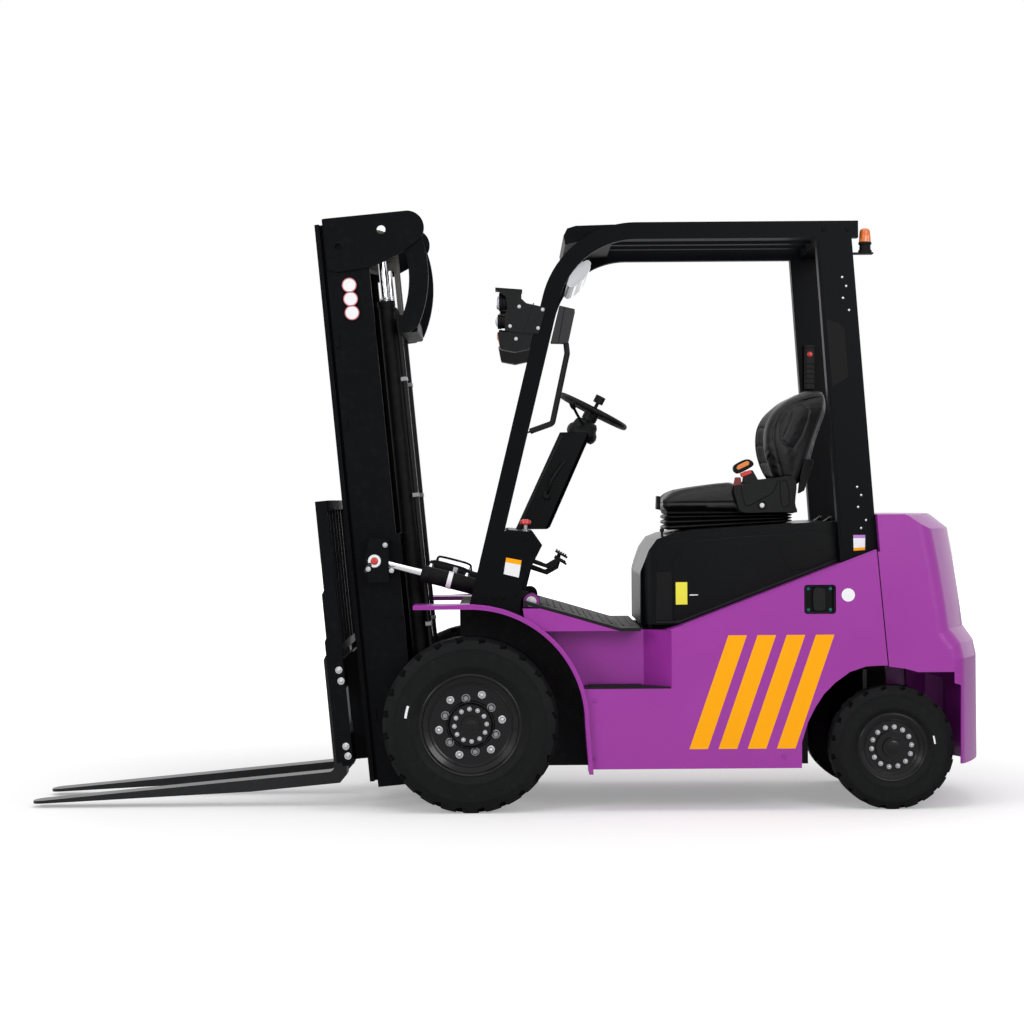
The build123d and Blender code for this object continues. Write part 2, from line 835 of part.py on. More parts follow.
# Rear view mirror under the front beam
mirror_half = 300
with BuildPart() as mirror_part:
    with BuildSketch(side(mirror_half, truck * Location((428, 0, 2052), (0, -50, 0)))):
        with BuildLine():
            ThreePointArc((-52, -14), (0, -26), (52, -14))
            ThreePointArc((52, -14), (64, 0), (52, 14))
            ThreePointArc((52, 14), (0, 26), (-52, 14))
            ThreePointArc((-52, 14), (-64, 0), (-52, -14))
        make_face()
    extrude(amount=2 * mirror_half)
    for y in (-150, 150):
        with BuildSketch(side(y)):
            Polygon((432, 2060), (446, 2060), (446, 2166), (432, 2163), align=None)
        extrude(amount=8, both=True)
save(mirror_part.part, "rear_mirror")

# Hood: a moulded cover, open below, carried by the bulkhead at its rear hinge
hood_low = 701
hood_seat = 0.4


def panel_line(x):
    """Height at x of the side panels' sloping top edge."""
    return 701 + panel_slope * (x - panel_front_top)


hood_crown = [(hood_front + 104, hood_top - 48), (850, hood_top - 29), (1184, hood_top - 9), (hood_rear, hood_top)]
with BuildPart() as hood:
    with BuildSketch(side(0)) as hood_side:
        Polygon(
            (hood_front, hood_low),
            (hood_front, hood_top - 190),
            (hood_front + 32, hood_top - 105),
            (hood_front + 62, hood_top - 64),
            *hood_crown,
            (hood_rear, panel_line(hood_rear) + hood_seat),
            (panel_front_top + 1, panel_line(panel_front_top + 1) + hood_seat),
            (hood_front + 109, hood_low),
            align=None,
        )
        fillet(hood_side.vertices().group_by(Axis.X)[0].sort_by(Axis.Y)[-1], 60)
    extrude(amount=hood_half, both=True)
    with BuildSketch(level(0)) as hood_plan:
        with Locations(((hood_front + hood_rear) / 2, 0)):
            Rectangle(hood_rear - hood_front, 2 * hood_half)
        fillet(hood_plan.vertices().group_by(Axis.X)[0], 55)
    extrude(amount=weight_top, mode=Mode.INTERSECT)
    floor_faces = hood.faces().filter_by(lambda f: f.normal_at().Z < -0.2)
    offset(amount=-hood_skin, openings=floor_faces)
    for hand in (-1, 1):
        with BuildSketch(side(hand * hinge_y)):
            with Locations((hinge_x, hinge_z)):
                Circle(hinge_radius)
            with Locations((hood_rear - 15, hood_top - 4)):
                Rectangle(20, 6)
            make_hull()
        extrude(amount=hinge_knuckle / 2, both=True)
        with BuildSketch(side(hand * hinge_y)):
            with Locations((hinge_x, hinge_z)):
                Circle(hinge_pin + running_clearance)
        extrude(amount=hinge_knuckle, both=True, mode=Mode.SUBTRACT)
save(hood.part, "hood")

# Seat: cushion and back in one solid, its back round at the top corners, bellows under the cushion
seat_base = truck * Location((seat_front, 0, seat_foot))
seat_long = 540
back_high = 489
with BuildPart() as seat:
    with BuildSketch(side(0, seat_base)):
        with BuildLine():
            Spline((0, 0), (0, 60), (78, 85), (299, 120), (338, 120))
            Spline((338, 120), (408, 180), (386, 310), (468, 440), (678, back_high))
            Polyline((678, back_high), (670, 440), (606, 207), (547, 91), (seat_long, 0), (0, 0))
        make_face()
    extrude(amount=seat_half, both=True)
    with BuildSketch(across(0, seat_base)) as seat_rear:
        with Locations((0, back_high / 2)):
            Rectangle(2 * seat_half, back_high + 10)
        fillet(seat_rear.vertices().group_by(Axis.Y)[-1], seat_corner)
    extrude(amount=2 * seat_long, mode=Mode.INTERSECT)
save(seat.part, "seat")

bellows_half = 190
soft_gap = 0.4
bellows_front = seat_front + 34
bellows_rear = seat_front + seat_long
crown_slope = (hood_crown[3][1] - hood_crown[2][1]) / (hood_crown[3][0] - hood_crown[2][0])
with BuildPart() as bellows:
    with BuildSketch(side(0)):
        Polygon(
            (bellows_front, hood_crown[1][1] - 12),
            (bellows_front, seat_foot - soft_gap),
            (bellows_rear, seat_foot - soft_gap),
            (bellows_rear, hood_crown[2][1] + crown_slope * (bellows_rear - hood_crown[2][0]) + soft_gap),
            (hood_crown[2][0], hood_crown[2][1] + soft_gap),
            (hood_crown[1][0], hood_crown[1][1] + soft_gap),
            align=None,
        )
    extrude(amount=bellows_half, both=True)
save(bellows.part, "seat_bellows")

# Steering column with its cowl
wheel_frame = truck * Location((wheel_centre_x, 0, wheel_centre_z), (0, wheel_lean, 0))
hub_drop = 40
shaft_radius = 27
with BuildPart() as column:
    with BuildSketch(side(0)) as column_side:
        Polygon((176, 1064), (300, 1064), (312, 1072), (470, 1425), (462, 1446), (354, 1446), align=None)
    extrude(amount=column_half, both=True)
    chamfer(column.edges().filter_by(lambda e: e.length > 300), column_chamfer)
    with BuildSketch(level(-hub_drop - 0.3, wheel_frame)):
        Circle(shaft_radius)
    extrude(amount=-70)
save(column.part, "steering_column")

# Steering wheel with three spokes and a knob, on the column's shaft
wheel_plane = level(0, wheel_frame)
rim_radius = 12
with BuildPart() as handwheel:
    with BuildSketch(across(0, wheel_frame)):
        with Locations((wheel_rim_radius - rim_radius, 0)):
            Circle(rim_radius)
    revolve(axis=Axis(wheel_plane.origin, wheel_plane.z_dir))
    with BuildSketch(wheel_plane.offset(-hub_drop)):
        Circle(30)
    extrude(amount=hub_drop)
    with BuildSketch(wheel_plane.offset(-hub_drop + 30)):
        with PolarLocations(0, 3, start_angle=30):
            with Locations(((wheel_rim_radius - rim_radius - 4) / 2, 0)):
                Rectangle(wheel_rim_radius - rim_radius - 4, 22)
    extrude(amount=8)
    with BuildSketch(wheel_plane):
        with Locations((0, -wheel_rim_radius + rim_radius)):
            Circle(7)
    extrude(amount=34)
    with BuildSketch(wheel_plane.offset(30)):
        with Locations((0, -wheel_rim_radius + rim_radius)):
            Circle(20)
    extrude(amount=30)
save(handwheel.part, "steering_wheel")

# Pedals on arms out of the cowl
with BuildPart() as pedals:
    for y, lift in ((-90, 30), (60, 0), (200, 0)):
        with BuildSketch(side(y + 8)):
            Polygon(
                (225, 905 + lift), (300, 880 + lift), (345, 905 + lift), (356, 940 + lift),
                (344, 946 + lift), (332, 918 + lift), (295, 898 + lift), (225, 926 + lift), align=None,
            )
        extrude(amount=16)
        with BuildSketch(side(y + 34)):
            Polygon(
                (330, 945 + lift), (336, 951 + lift), (380, 925 + lift), (376, 918 + lift), align=None,
            )
        extrude(amount=68)
    add(cowl.part, mode=Mode.SUBTRACT)
save(pedals.part, "pedals")

# Front drive axle: hub ends, housing, gear case and the mast's pivot lugs
spindle_end = front_tyre_plane + front_tyre_width / 2 - bead_width_step - 47
pivot_pin_radius = 20
lug_in = 334
lug_out = 352
pin_in = 298
with BuildPart() as drive_axle:
    with BuildSketch(across(0, front_axle)):
        with BuildLine():
            Polyline(
                (-spindle_end, 0),
                (-spindle_end, hub_bore),
                (-hub_inner_y + moving_gap, hub_bore),
                (-hub_inner_y + moving_gap, 150),
                (-352 - 2, 150),
                (-352 - 2, 75),
                (-150, 75),
                (-120, 130),
                (0, 150),
                (120, 130),
                (150, 75),
                (354, 75),
                (354, 150),
                (hub_inner_y - moving_gap, 150),
                (hub_inner_y - moving_gap, hub_bore),
                (spindle_end, hub_bore),
                (spindle_end, 0),
                close=True,
            )
        make_face()
    revolve(axis=Axis(front_axle.position, (0, 1, 0)))
    with BuildSketch(level(front_tyre_radius + 60)):
        for x, y in ((20, -215), (20, 215)):
            with Locations((x, y)):
                Rectangle(110, 90)
    extrude(until=Until.NEXT, target=core.part)
    for hand in (-1, 1):
        with BuildSketch(side(hand * (lug_in + lug_out) / 2)):
            with Locations((0, front_tyre_radius)):
                Circle(75)
            with Locations((mast_pivot_x, mast_pivot_z)):
                Circle(pivot_pin_radius + 14)
            make_hull()
        extrude(amount=(lug_out - lug_in) / 2, both=True)
        with BuildSketch(side(hand * (pin_in + lug_out) / 2)):
            with Locations((mast_pivot_x, mast_pivot_z)):
                Circle(pivot_pin_radius)
        extrude(amount=(lug_out - pin_in) / 2, both=True)
save(drive_axle.part, "drive_axle")

# Steer axle: beam, kingpin forks, centre mount and the steering cylinder in front of it
yoke_half = 92
knuckle_half = 60
with BuildPart() as steer_axle:
    with BuildSketch(side(0, rear_axle)):
        Rectangle(2 * axle_beam_half, 110)
    extrude(amount=kingpin_half - 60, both=True)
    for hand in (-1, 1):
        with BuildSketch(level(-yoke_half, rear_axle)) as yoke_plan:
            with Locations((0, hand * kingpin_half)):
                Circle(axle_beam_half)
            with Locations((0, hand * (kingpin_half - 45))):
                Rectangle(2 * axle_beam_half, 90)
        extrude(amount=2 * yoke_half)
        with BuildSketch(level(-knuckle_half - moving_gap, rear_axle)):
            with Locations((0, hand * (kingpin_half + 10))):
                Rectangle(200, 2 * (axle_beam_half + 10 + moving_gap))
        extrude(amount=2 * (knuckle_half + moving_gap), mode=Mode.SUBTRACT)
        with BuildSketch(level(-yoke_half, rear_axle)):
            with Locations((0, hand * kingpin_half)):
                Circle(kingpin_radius)
        extrude(amount=2 * yoke_half)
    with BuildSketch(level(55, rear_axle)):
        Rectangle(2 * axle_beam_half, 120)
    extrude(amount=well_roof - rear_tyre_radius - 55)
    with BuildSketch(across(-axle_beam_half - 34, rear_axle)):
        Circle(30)
    extrude(amount=50)
    with BuildSketch(side(0, rear_axle)):
        with Locations((-axle_beam_half - 36, 0)):
            Circle(32)
    extrude(amount=110, both=True)
    with BuildSketch(side(0, rear_axle)):
        with Locations((-axle_beam_half - 36, 0)):
            Circle(14)
    extrude(amount=170, both=True)
save(steer_axle.part, "steer_axle")

# Steering knuckles with the wheel spindles
with BuildPart() as knuckle:
    with BuildSketch(level(-knuckle_half, rear_axle)):
        with Locations((0, -kingpin_half)):
            Circle(axle_beam_half)
    extrude(amount=2 * knuckle_half)
    with BuildSketch(side(-kingpin_half, rear_axle)):
        Circle(spindle_radius + 12)
    extrude(amount=rear_tyre_plane - 20 - kingpin_half - 1)
    with BuildSketch(side(-kingpin_half, rear_axle)):
        Circle(spindle_radius)
    extrude(amount=rear_tyre_plane + rear_tyre_width / 2 - bead_width_step - 32 - kingpin_half)
    with BuildSketch(level(-knuckle_half, rear_axle)):
        with Locations((0, -kingpin_half)):
            Circle(kingpin_radius + running_clearance)
    extrude(amount=2 * knuckle_half, mode=Mode.SUBTRACT)
save_pair(knuckle.part, "knuckle")

# Outer mast rails: channels open to the middle, with pivot hangers and tilt brackets
rail_front = rail_back - rail_depth
hanger_radius = 33
hanger_outer = 326
hanger_thick = 26
bracket_plate = 12
tilt_rel_x = tilt_mast_x - mast_pivot_x
tilt_rel_z = tilt_mast_z - mast_pivot_z
tilt_pin_x = tilt_rel_x * cos(lean) + tilt_rel_z * sin(lean)
tilt_pin_z = -tilt_rel_x * sin(lean) + tilt_rel_z * cos(lean)
bracket_reach = tilt_y + tilt_barrel_radius + 14 - rail_outer_half
with BuildPart() as outer_rail:
    with BuildSketch(level(rail_bottom, mast)):
        Polygon(
            (rail_front, -rail_outer_half),
            (rail_back, -rail_outer_half),
            (rail_back, -rail_outer_half + outer_flange_width),
            (rail_back - rail_flange, -rail_outer_half + outer_flange_width),
            (rail_back - rail_flange, -rail_outer_half + rail_web),
            (rail_front + rail_flange, -rail_outer_half + rail_web),
            (rail_front + rail_flange, -rail_outer_half + outer_flange_width),
            (rail_front, -rail_outer_half + outer_flange_width),
            align=None,
        )
    extrude(amount=rail_top - rail_bottom)
    with BuildSketch(side(-hanger_outer + hanger_thick, mast)):
        with BuildLine():
            Polyline((0, -hanger_radius), (rail_back, -70), (rail_back, 80), (0, hanger_radius))
            RadiusArc((0, hanger_radius), (0, -hanger_radius), hanger_radius)
        make_face()
        Circle(pivot_pin_radius + running_clearance, mode=Mode.SUBTRACT)
    extrude(amount=hanger_thick)
    for start in (rail_outer_half, rail_outer_half + bracket_reach - bracket_plate):
        with BuildSketch(side(-start, mast)):
            Polygon(
                (tilt_pin_x - 31, tilt_pin_z - 81),
                (tilt_pin_x - 38, tilt_pin_z),
                (tilt_pin_x - 10, tilt_pin_z + 93),
                (tilt_pin_x + 62, tilt_pin_z + 75),
                (tilt_pin_x + 46, tilt_pin_z - 85),
                align=None,
            )
        extrude(amount=bracket_plate)
    with BuildSketch(side(-rail_outer_half, mast)):
        Polygon(
            (tilt_pin_x - 10, tilt_pin_z + 93), (tilt_pin_x + 62, tilt_pin_z + 75),
            (tilt_pin_x + 61, tilt_pin_z + 65), (tilt_pin_x - 14, tilt_pin_z + 82), align=None,
        )
    extrude(amount=bracket_reach)
    with BuildSketch(side(-rail_outer_half, mast)):
        with Locations((tilt_pin_x, tilt_pin_z)):
            Circle(tilt_pin_radius)
    extrude(amount=bracket_reach + 5)
rails_outer = Compound([outer_rail.part, mirror(outer_rail.part, about=Plane.XZ)])
save(rails_outer, "outer_rails")

# Mast head: sling plates, curved yoke bands and two cross tubes
sling_x, sling_z, sling_radius = -44, 1934, 17
plate_thick = 12
head_tube = 70
lower_tube_z = 1566
with BuildPart() as yoke:
    with BuildSketch(side(-rail_outer_half, mast)):
        with BuildLine():
            Polyline((60, rail_top), (-262, rail_top), (-262, 1800), (-228, 1787), (-96, 1795), (-40, 1812), (20, 1837), (101, 1885))
            ThreePointArc((101, 1885), (118, 1950), (60, rail_top))
        make_face()
        with Locations((sling_x, sling_z)):
            Circle(sling_radius, mode=Mode.SUBTRACT)
        with Locations((-215, 1884)):
            Circle(12.5, mode=Mode.SUBTRACT)
    extrude(amount=plate_thick)
    with BuildSketch(side(-rail_outer_half + 40, mast)):
        with BuildLine():
            ThreePointArc((100, 1925), (118, 1740), (60, 1552))
            Polyline((60, 1552), (25, 1532), (-14, 1531), (-14, 1601), (6, 1601))
            ThreePointArc((6, 1601), (44, 1740), (26, 1900))
            Line((26, 1900), (100, 1925))
        make_face()
    extrude(amount=40)
for_yoke = yoke.part
with BuildPart() as mast_yoke:
    add(for_yoke)
    add(mirror(for_yoke, about=Plane.XZ))
    with BuildSketch(side(0, mast)):
        with Locations((72, 1880)):
            RectangleRounded(50, 60, 10)
        with Locations((22, lower_tube_z)):
            RectangleRounded(head_tube, head_tube - 4, 10)
    extrude(amount=rail_outer_half - 40, both=True)
save(mast_yoke.part, "mast_yoke")

# Cross members low on the outer mast: foot plate and middle tie
foot_thick = 16
tie_thick = 16.7
with BuildPart() as foot:
    with BuildSketch(level(rail_bottom, mast)):
        with Locations(((rail_back + rail_front) / 2 + 25, 0)):
            Rectangle(rail_depth + 40, 2 * (rail_outer_half - outer_flange_width))
    extrude(amount=foot_thick)
with BuildPart() as tie:
    with BuildSketch(across(rail_back, mast)):
        with Locations((0, 700)):
            Rectangle(2 * rail_outer_half - 10, 130)
    extrude(amount=tie_thick)
save(Compound([foot.part, tie.part]), "outer_ties")

# Lift cylinders: barrels with glands, and rods with pistons
barrel_wall = 6
gland_length = 40
piston_length = 40
with BuildPart() as barrel:
    with BuildSketch(level(rail_bottom + foot_thick, mast)):
        with Locations((lift_x, -lift_y)):
            Circle(lift_barrel_radius)
    extrude(amount=lift_barrel_top - rail_bottom - foot_thick)
    with BuildSketch(level(rail_bottom + foot_thick + 20, mast)):
        with Locations((lift_x, -lift_y)):
            Circle(lift_barrel_radius - barrel_wall)
    extrude(amount=lift_barrel_top - rail_bottom - foot_thick - 20 - gland_length, mode=Mode.SUBTRACT)
    with BuildSketch(level(lift_barrel_top - gland_length, mast)):
        with Locations((lift_x, -lift_y)):
            Circle(lift_rod_radius + running_clearance)
    extrude(amount=gland_length, mode=Mode.SUBTRACT)
    with BuildSketch(level(lift_barrel_top - 20, mast)):
        with Locations((lift_x, -lift_y)):
            Circle(lift_barrel_radius + 4)
            Circle(lift_barrel_radius, mode=Mode.SUBTRACT)
    extrude(amount=20)
save(Compound([barrel.part, mirror(barrel.part, about=Plane.XZ)]), "lift_barrels")

piston_z = rail_bottom + foot_thick + 26
with BuildPart() as lift_rod:
    with BuildSketch(level(piston_z, mast)):
        with Locations((lift_x, -lift_y)):
            Circle(lift_barrel_radius - barrel_wall - running_clearance)
    extrude(amount=piston_length)
    with BuildSketch(level(piston_z, mast)):
        with Locations((lift_x, -lift_y)):
            Circle(lift_rod_radius)
    extrude(amount=lift_rod_top - piston_z)
save(Compound([lift_rod.part, mirror(lift_rod.part, about=Plane.XZ)]), "lift_rods")

# Inner mast rails
inner_front = rail_front - inner_proud
inner_back = rail_back - inner_proud
with BuildPart() as inner_rail:
    web_in = inner_web_half - rail_web
    with BuildSketch(level(inner_rail_bottom, mast)):
        with Locations(((inner_front + inner_back) / 2, -(inner_web_half + web_in) / 2)):
            Rectangle(rail_depth, rail_web)
        for x in (inner_front + rail_flange / 2, inner_back - rail_flange / 2):
            with Locations((x, -(inner_web_half + inner_flange_out + web_in - inner_flange_in) / 2)):
                Rectangle(rail_flange, rail_web + inner_flange_out + inner_flange_in)
    extrude(amount=inner_rail_top - inner_rail_bottom)
save(Compound([inner_rail.part, mirror(inner_rail.part, about=Plane.XZ)]), "inner_rails")

# Crosshead on the inner mast: rod seats, pulley cheeks and the pulley shaft
pulley_x = -85
pulley_shaft = 18
pulley_wide = chain_wide + 10
cheek_gap = 3
block_half = pulley_y - pulley_wide / 2 - cheek_gap
arm_inner = pulley_y + pulley_wide / 2 + cheek_gap
arm_thick = 36
cheek_thick = 24
with BuildPart() as crosshead:
    for hand in (-1, 1):
        with BuildSketch(level(lift_rod_top, mast)):
            with Locations(((inner_back + lift_x + 30) / 2, hand * (arm_inner + inner_web_half - 2) / 2)):
                Rectangle(lift_x + 30 - inner_back, inner_web_half - 2 - arm_inner)
        extrude(amount=arm_thick)
        with BuildSketch(side(hand * (arm_inner + cheek_thick / 2), mast)):
            Polygon(
                (inner_back, lift_rod_top), (lift_x + 20, lift_rod_top), (lift_x + 10, pulley_z + 30),
                (inner_back + 20, pulley_z + 30), (inner_back, pulley_z + 10), align=None,
            )
        extrude(amount=cheek_thick / 2, both=True)
    with BuildSketch(side(0, mast)):
        with Locations((pulley_x, pulley_z)):
            Circle(pulley_shaft)
    extrude(amount=arm_inner + cheek_thick, both=True)
    with BuildSketch(side(0, mast)):
        with Locations((pulley_x, pulley_z - 5)):
            RectangleRounded(90, 90, 14)
    extrude(amount=block_half, both=True)
save(crosshead.part, "inner_crosshead")

# Chain pulleys with side flanges
with BuildPart() as pulley:
    with BuildSketch(side(-pulley_y, mast)):
        with Locations((pulley_x, pulley_z)):
            Circle(pulley_radius)
    extrude(amount=pulley_wide / 2, both=True)
    for hand in (-1, 1):
        with BuildSketch(side(-pulley_y + hand * (pulley_wide / 2 - 2), mast)):
            with Locations((pulley_x, pulley_z)):
                Circle(pulley_radius + 10)
        extrude(amount=2, both=True)
    with BuildSketch(side(-pulley_y, mast)):
        with Locations((pulley_x, pulley_z)):
            Circle(pulley_shaft + running_clearance)
    extrude(amount=pulley_wide, both=True, mode=Mode.SUBTRACT)
save(Compound([pulley.part, mirror(pulley.part, about=Plane.XZ)]), "chain_pulleys")

# Lift chains: bend over the pulley, rear leg to the outer mast, front leg to the carriage
seat_gap = 0.3
chain_inner = pulley_radius + seat_gap
anchor_top = 320
with BuildPart() as chain_bend:
    with BuildSketch(side(-pulley_y + chain_wide / 2, mast)):
        with Locations((pulley_x, pulley_z)):
            Circle(chain_inner + chain_deep)
            Circle(chain_inner, mode=Mode.SUBTRACT)
        with Locations((pulley_x, pulley_z - pulley_radius)):
            Rectangle(4 * pulley_radius, 2 * pulley_radius, mode=Mode.SUBTRACT)
    extrude(amount=chain_wide)
save(Compound([chain_bend.part, mirror(chain_bend.part, about=Plane.XZ)]), "chain_bends")

rear_leg_low = lower_tube_z + (head_tube - 4) / 2 + seat_gap
with BuildPart() as rear_leg:
    with BuildSketch(level(rear_leg_low, mast)):
        with Locations((pulley_x + chain_inner + chain_deep / 2, -pulley_y)):
            Rectangle(chain_deep, chain_wide)
    extrude(amount=pulley_z - seat_gap - rear_leg_low)
save(Compound([rear_leg.part, mirror(rear_leg.part, about=Plane.XZ)]), "chain_rear_legs")

with BuildPart() as front_leg:
    with BuildSketch(level(anchor_top + seat_gap, mast)):
        with Locations((pulley_x - chain_inner - chain_deep / 2, -pulley_y)):
            Rectangle(chain_deep, chain_wide)
    extrude(amount=pulley_z - anchor_top - 2 * seat_gap)
save(Compound([front_leg.part, mirror(front_leg.part, about=Plane.XZ)]), "chain_front_legs")

# Fork carriage: two cross bars, roller plates with their rollers, chain anchor bar
plate_in = 218
plate_out = 238
roller_radius = 61
roller_face = 282
plate_rear = -170
plate_low = -90
plate_top = 360
roller_x = (inner_front + inner_back) / 2
with BuildPart() as carriage:
    for z in (upper_bar, lower_bar):
        with BuildSketch(across(-bar_front, mast)) as bar_face:
            with Locations((0, z)):
                Rectangle(2 * carriage_half, bar_height)
            chamfer(bar_face.vertices(), 8)
        extrude(amount=bar_depth)
    for hand in (-1, 1):
        with BuildSketch(side(hand * (plate_in + plate_out) / 2, mast)):
            Polygon(
                (bar_depth - bar_front, plate_low), (plate_rear - 60, plate_low), (plate_rear, plate_low + 50),
                (plate_rear, plate_top), (plate_rear - 110, plate_top), (bar_depth - bar_front, plate_top - 60),
                align=None,
            )
        extrude(amount=(plate_out - plate_in) / 2, both=True)
        for z in (plate_top - 62, plate_low + 62):
            with BuildSketch(side(hand * (plate_out + roller_face) / 2, mast)):
                with Locations((roller_x, z)):
                    Circle(roller_radius)
            extrude(amount=(roller_face - plate_out) / 2 - 4, both=True)
            with BuildSketch(side(hand * plate_out, mast)):
                with Locations((roller_x, z)):
                    Circle(24)
            extrude(amount=8, both=True)
    with BuildSketch(side(0, mast)):
        with Locations((pulley_x - chain_inner - chain_deep / 2 - 5, anchor_top - 15)):
            Rectangle(50, 30)
    extrude(amount=plate_out, both=True)
save(carriage.part, "fork_carriage")

# Load backrest: stepped side plates, frame and upright bars
rest_half = 500
rest_front = 391
rest_bar_depth = 53
rest_bar_height = 36
rest_low = 336
upright_wide = 16
upright_pitch = 166
with BuildPart() as backrest:
    for hand in (-1, 1):
        with BuildSketch(side(hand * (rest_half - backrest_plate / 2), mast)):
            Polygon(
                (-407, -75), (-345, -75), (-345, 400), (-348, 580), (-348, backrest_top),
                (-rest_front, backrest_top), (-rest_front, 580), (-400, 566), (-400, 400), (-407, 387),
                align=None,
            )
        extrude(amount=backrest_plate / 2, both=True)
    with BuildSketch(side(0, mast)):
        with Locations((-rest_front + rest_bar_depth / 2, backrest_top - rest_bar_height / 2)):
            Rectangle(rest_bar_depth, rest_bar_height)
        with Locations((-bar_front + rest_bar_height / 2, rest_low + 15)):
            Rectangle(rest_bar_height, 30)
    extrude(amount=rest_half - backrest_plate, both=True)
    with BuildSketch(level(rest_low + 15, mast)):
        with Locations((-bar_front + rest_bar_height / 2, 0)):
            with GridLocations(0, upright_pitch, 1, 5):
                Rectangle(rest_bar_height, upright_wide)
    extrude(amount=backrest_top - rest_bar_height - rest_low - 15)
save(backrest.part, "load_backrest")

# Forks: hooked shanks and tapered blades with round tips
shank_back = bar_front + seat_gap
hook_depth = 30
hook_height = 20
tip_x = -fork_face - fork_length
taper_from = -fork_face - 330
heel_bevel = 30
with BuildPart() as fork:
    with BuildSketch(side(-fork_centre - fork_wide / 2, mast)) as fork_side:
        Polygon(
            (-shank_back + hook_depth, fork_shank_top),
            (-fork_face + 14, fork_shank_top),
            (-fork_face, fork_shank_top - 22),
            (-fork_face, fork_top),
            (tip_x, fork_top),
            (tip_x, fork_top - fork_tip_thick),
            (taper_from, fork_top - fork_thick),
            (-shank_back - heel_bevel, fork_top - fork_thick),
            (-shank_back, fork_top - fork_thick + heel_bevel),
            (-shank_back, lower_bar - bar_height / 2 - seat_gap - hook_height),
            (-shank_back + hook_depth, lower_bar - bar_height / 2 - seat_gap - hook_height + 6),
            (-shank_back + hook_depth, lower_bar - bar_height / 2 - seat_gap),
            (-shank_back, lower_bar - bar_height / 2 - seat_gap),
            (-shank_back, upper_bar + bar_height / 2 + seat_gap),
            (-shank_back + hook_depth, upper_bar + bar_height / 2 + seat_gap),
            align=None,
        )
        fillet(fork_side.vertices().sort_by_distance((-fork_face, fork_top))[0], 22)
    extrude(amount=-fork_wide)
    with BuildSketch(level(-400, mast)) as fork_plan:
        with Locations((tip_x + 1000, -fork_centre)):
            Rectangle(2000, fork_wide)
        fillet(fork_plan.vertices().group_by(Axis.X)[0], 44)
    extrude(amount=1000, mode=Mode.INTERSECT)
save_pair(fork.part, "fork")

# Tilt cylinders: barrel from the chassis pin, rod from the mast pin
tilt_length = hypot(tilt_chassis_x - tilt_mast_x, tilt_chassis_z - tilt_mast_z)
tilt_angle = degrees(atan2(tilt_mast_z - tilt_chassis_z, tilt_chassis_x - tilt_mast_x))
tilt_gland_end = 430
tilt_gland = 34
tilt_wall = 5
tilt_piston_at = 352
tilt_piston_long = 30
rod_eye_radius = 28
rod_eye_drift = 2.5
cylinder = truck * Location((tilt_chassis_x, 0, tilt_chassis_z), (0, tilt_angle, 0))
with BuildPart() as tilt_barrel:
    with BuildSketch(across(-tilt_gland_end, cylinder)):
        with Locations((-tilt_y, 0)):
            Circle(tilt_barrel_radius)
    extrude(amount=tilt_gland_end - 20)
    with BuildSketch(side(-tilt_y, cylinder)):
        Circle(tilt_barrel_radius)
    extrude(amount=tilt_barrel_radius, both=True)
    with BuildSketch(across(-tilt_gland_end + tilt_gland, cylinder)):
        with Locations((-tilt_y, 0)):
            Circle(tilt_barrel_radius - tilt_wall)
    extrude(amount=tilt_gland_end - tilt_gland - tilt_barrel_radius - 24, mode=Mode.SUBTRACT)
    with BuildSketch(across(-tilt_gland_end, cylinder)):
        with Locations((-tilt_y, 0)):
            Circle(tilt_rod_radius + running_clearance)
    extrude(amount=tilt_gland, mode=Mode.SUBTRACT)
    with BuildSketch(side(-tilt_y, cylinder)):
        Circle(tilt_pin_radius + running_clearance)
    extrude(amount=2 * tilt_barrel_radius, both=True, mode=Mode.SUBTRACT)
save_pair(tilt_barrel.part, "tilt_barrel")

with BuildPart() as tilt_rod:
    with BuildSketch(across(-tilt_length, cylinder)):
        with Locations((-tilt_y, 0)):
            Circle(tilt_rod_radius)
    extrude(amount=tilt_length - tilt_piston_at)
    with BuildSketch(across(-tilt_piston_at - tilt_piston_long, cylinder)):
        with Locations((-tilt_y, 0)):
            Circle(tilt_barrel_radius - tilt_wall - running_clearance)
    extrude(amount=tilt_piston_long)
    with BuildSketch(side(-tilt_y, cylinder)):
        with Locations((-tilt_length, 0)):
            Circle(rod_eye_radius)
    extrude(amount=rod_eye_radius, both=True)
    with BuildSketch(side(-tilt_y, cylinder)):
        with Locations((-tilt_length, 0)):
            Circle(tilt_pin_radius + rod_eye_drift)
    extrude(amount=2 * rod_eye_radius, both=True, mode=Mode.SUBTRACT)
save_pair(tilt_rod.part, "tilt_rod")
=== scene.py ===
from math import copysign, cos, exp, hypot, pi, radians, sin, sqrt

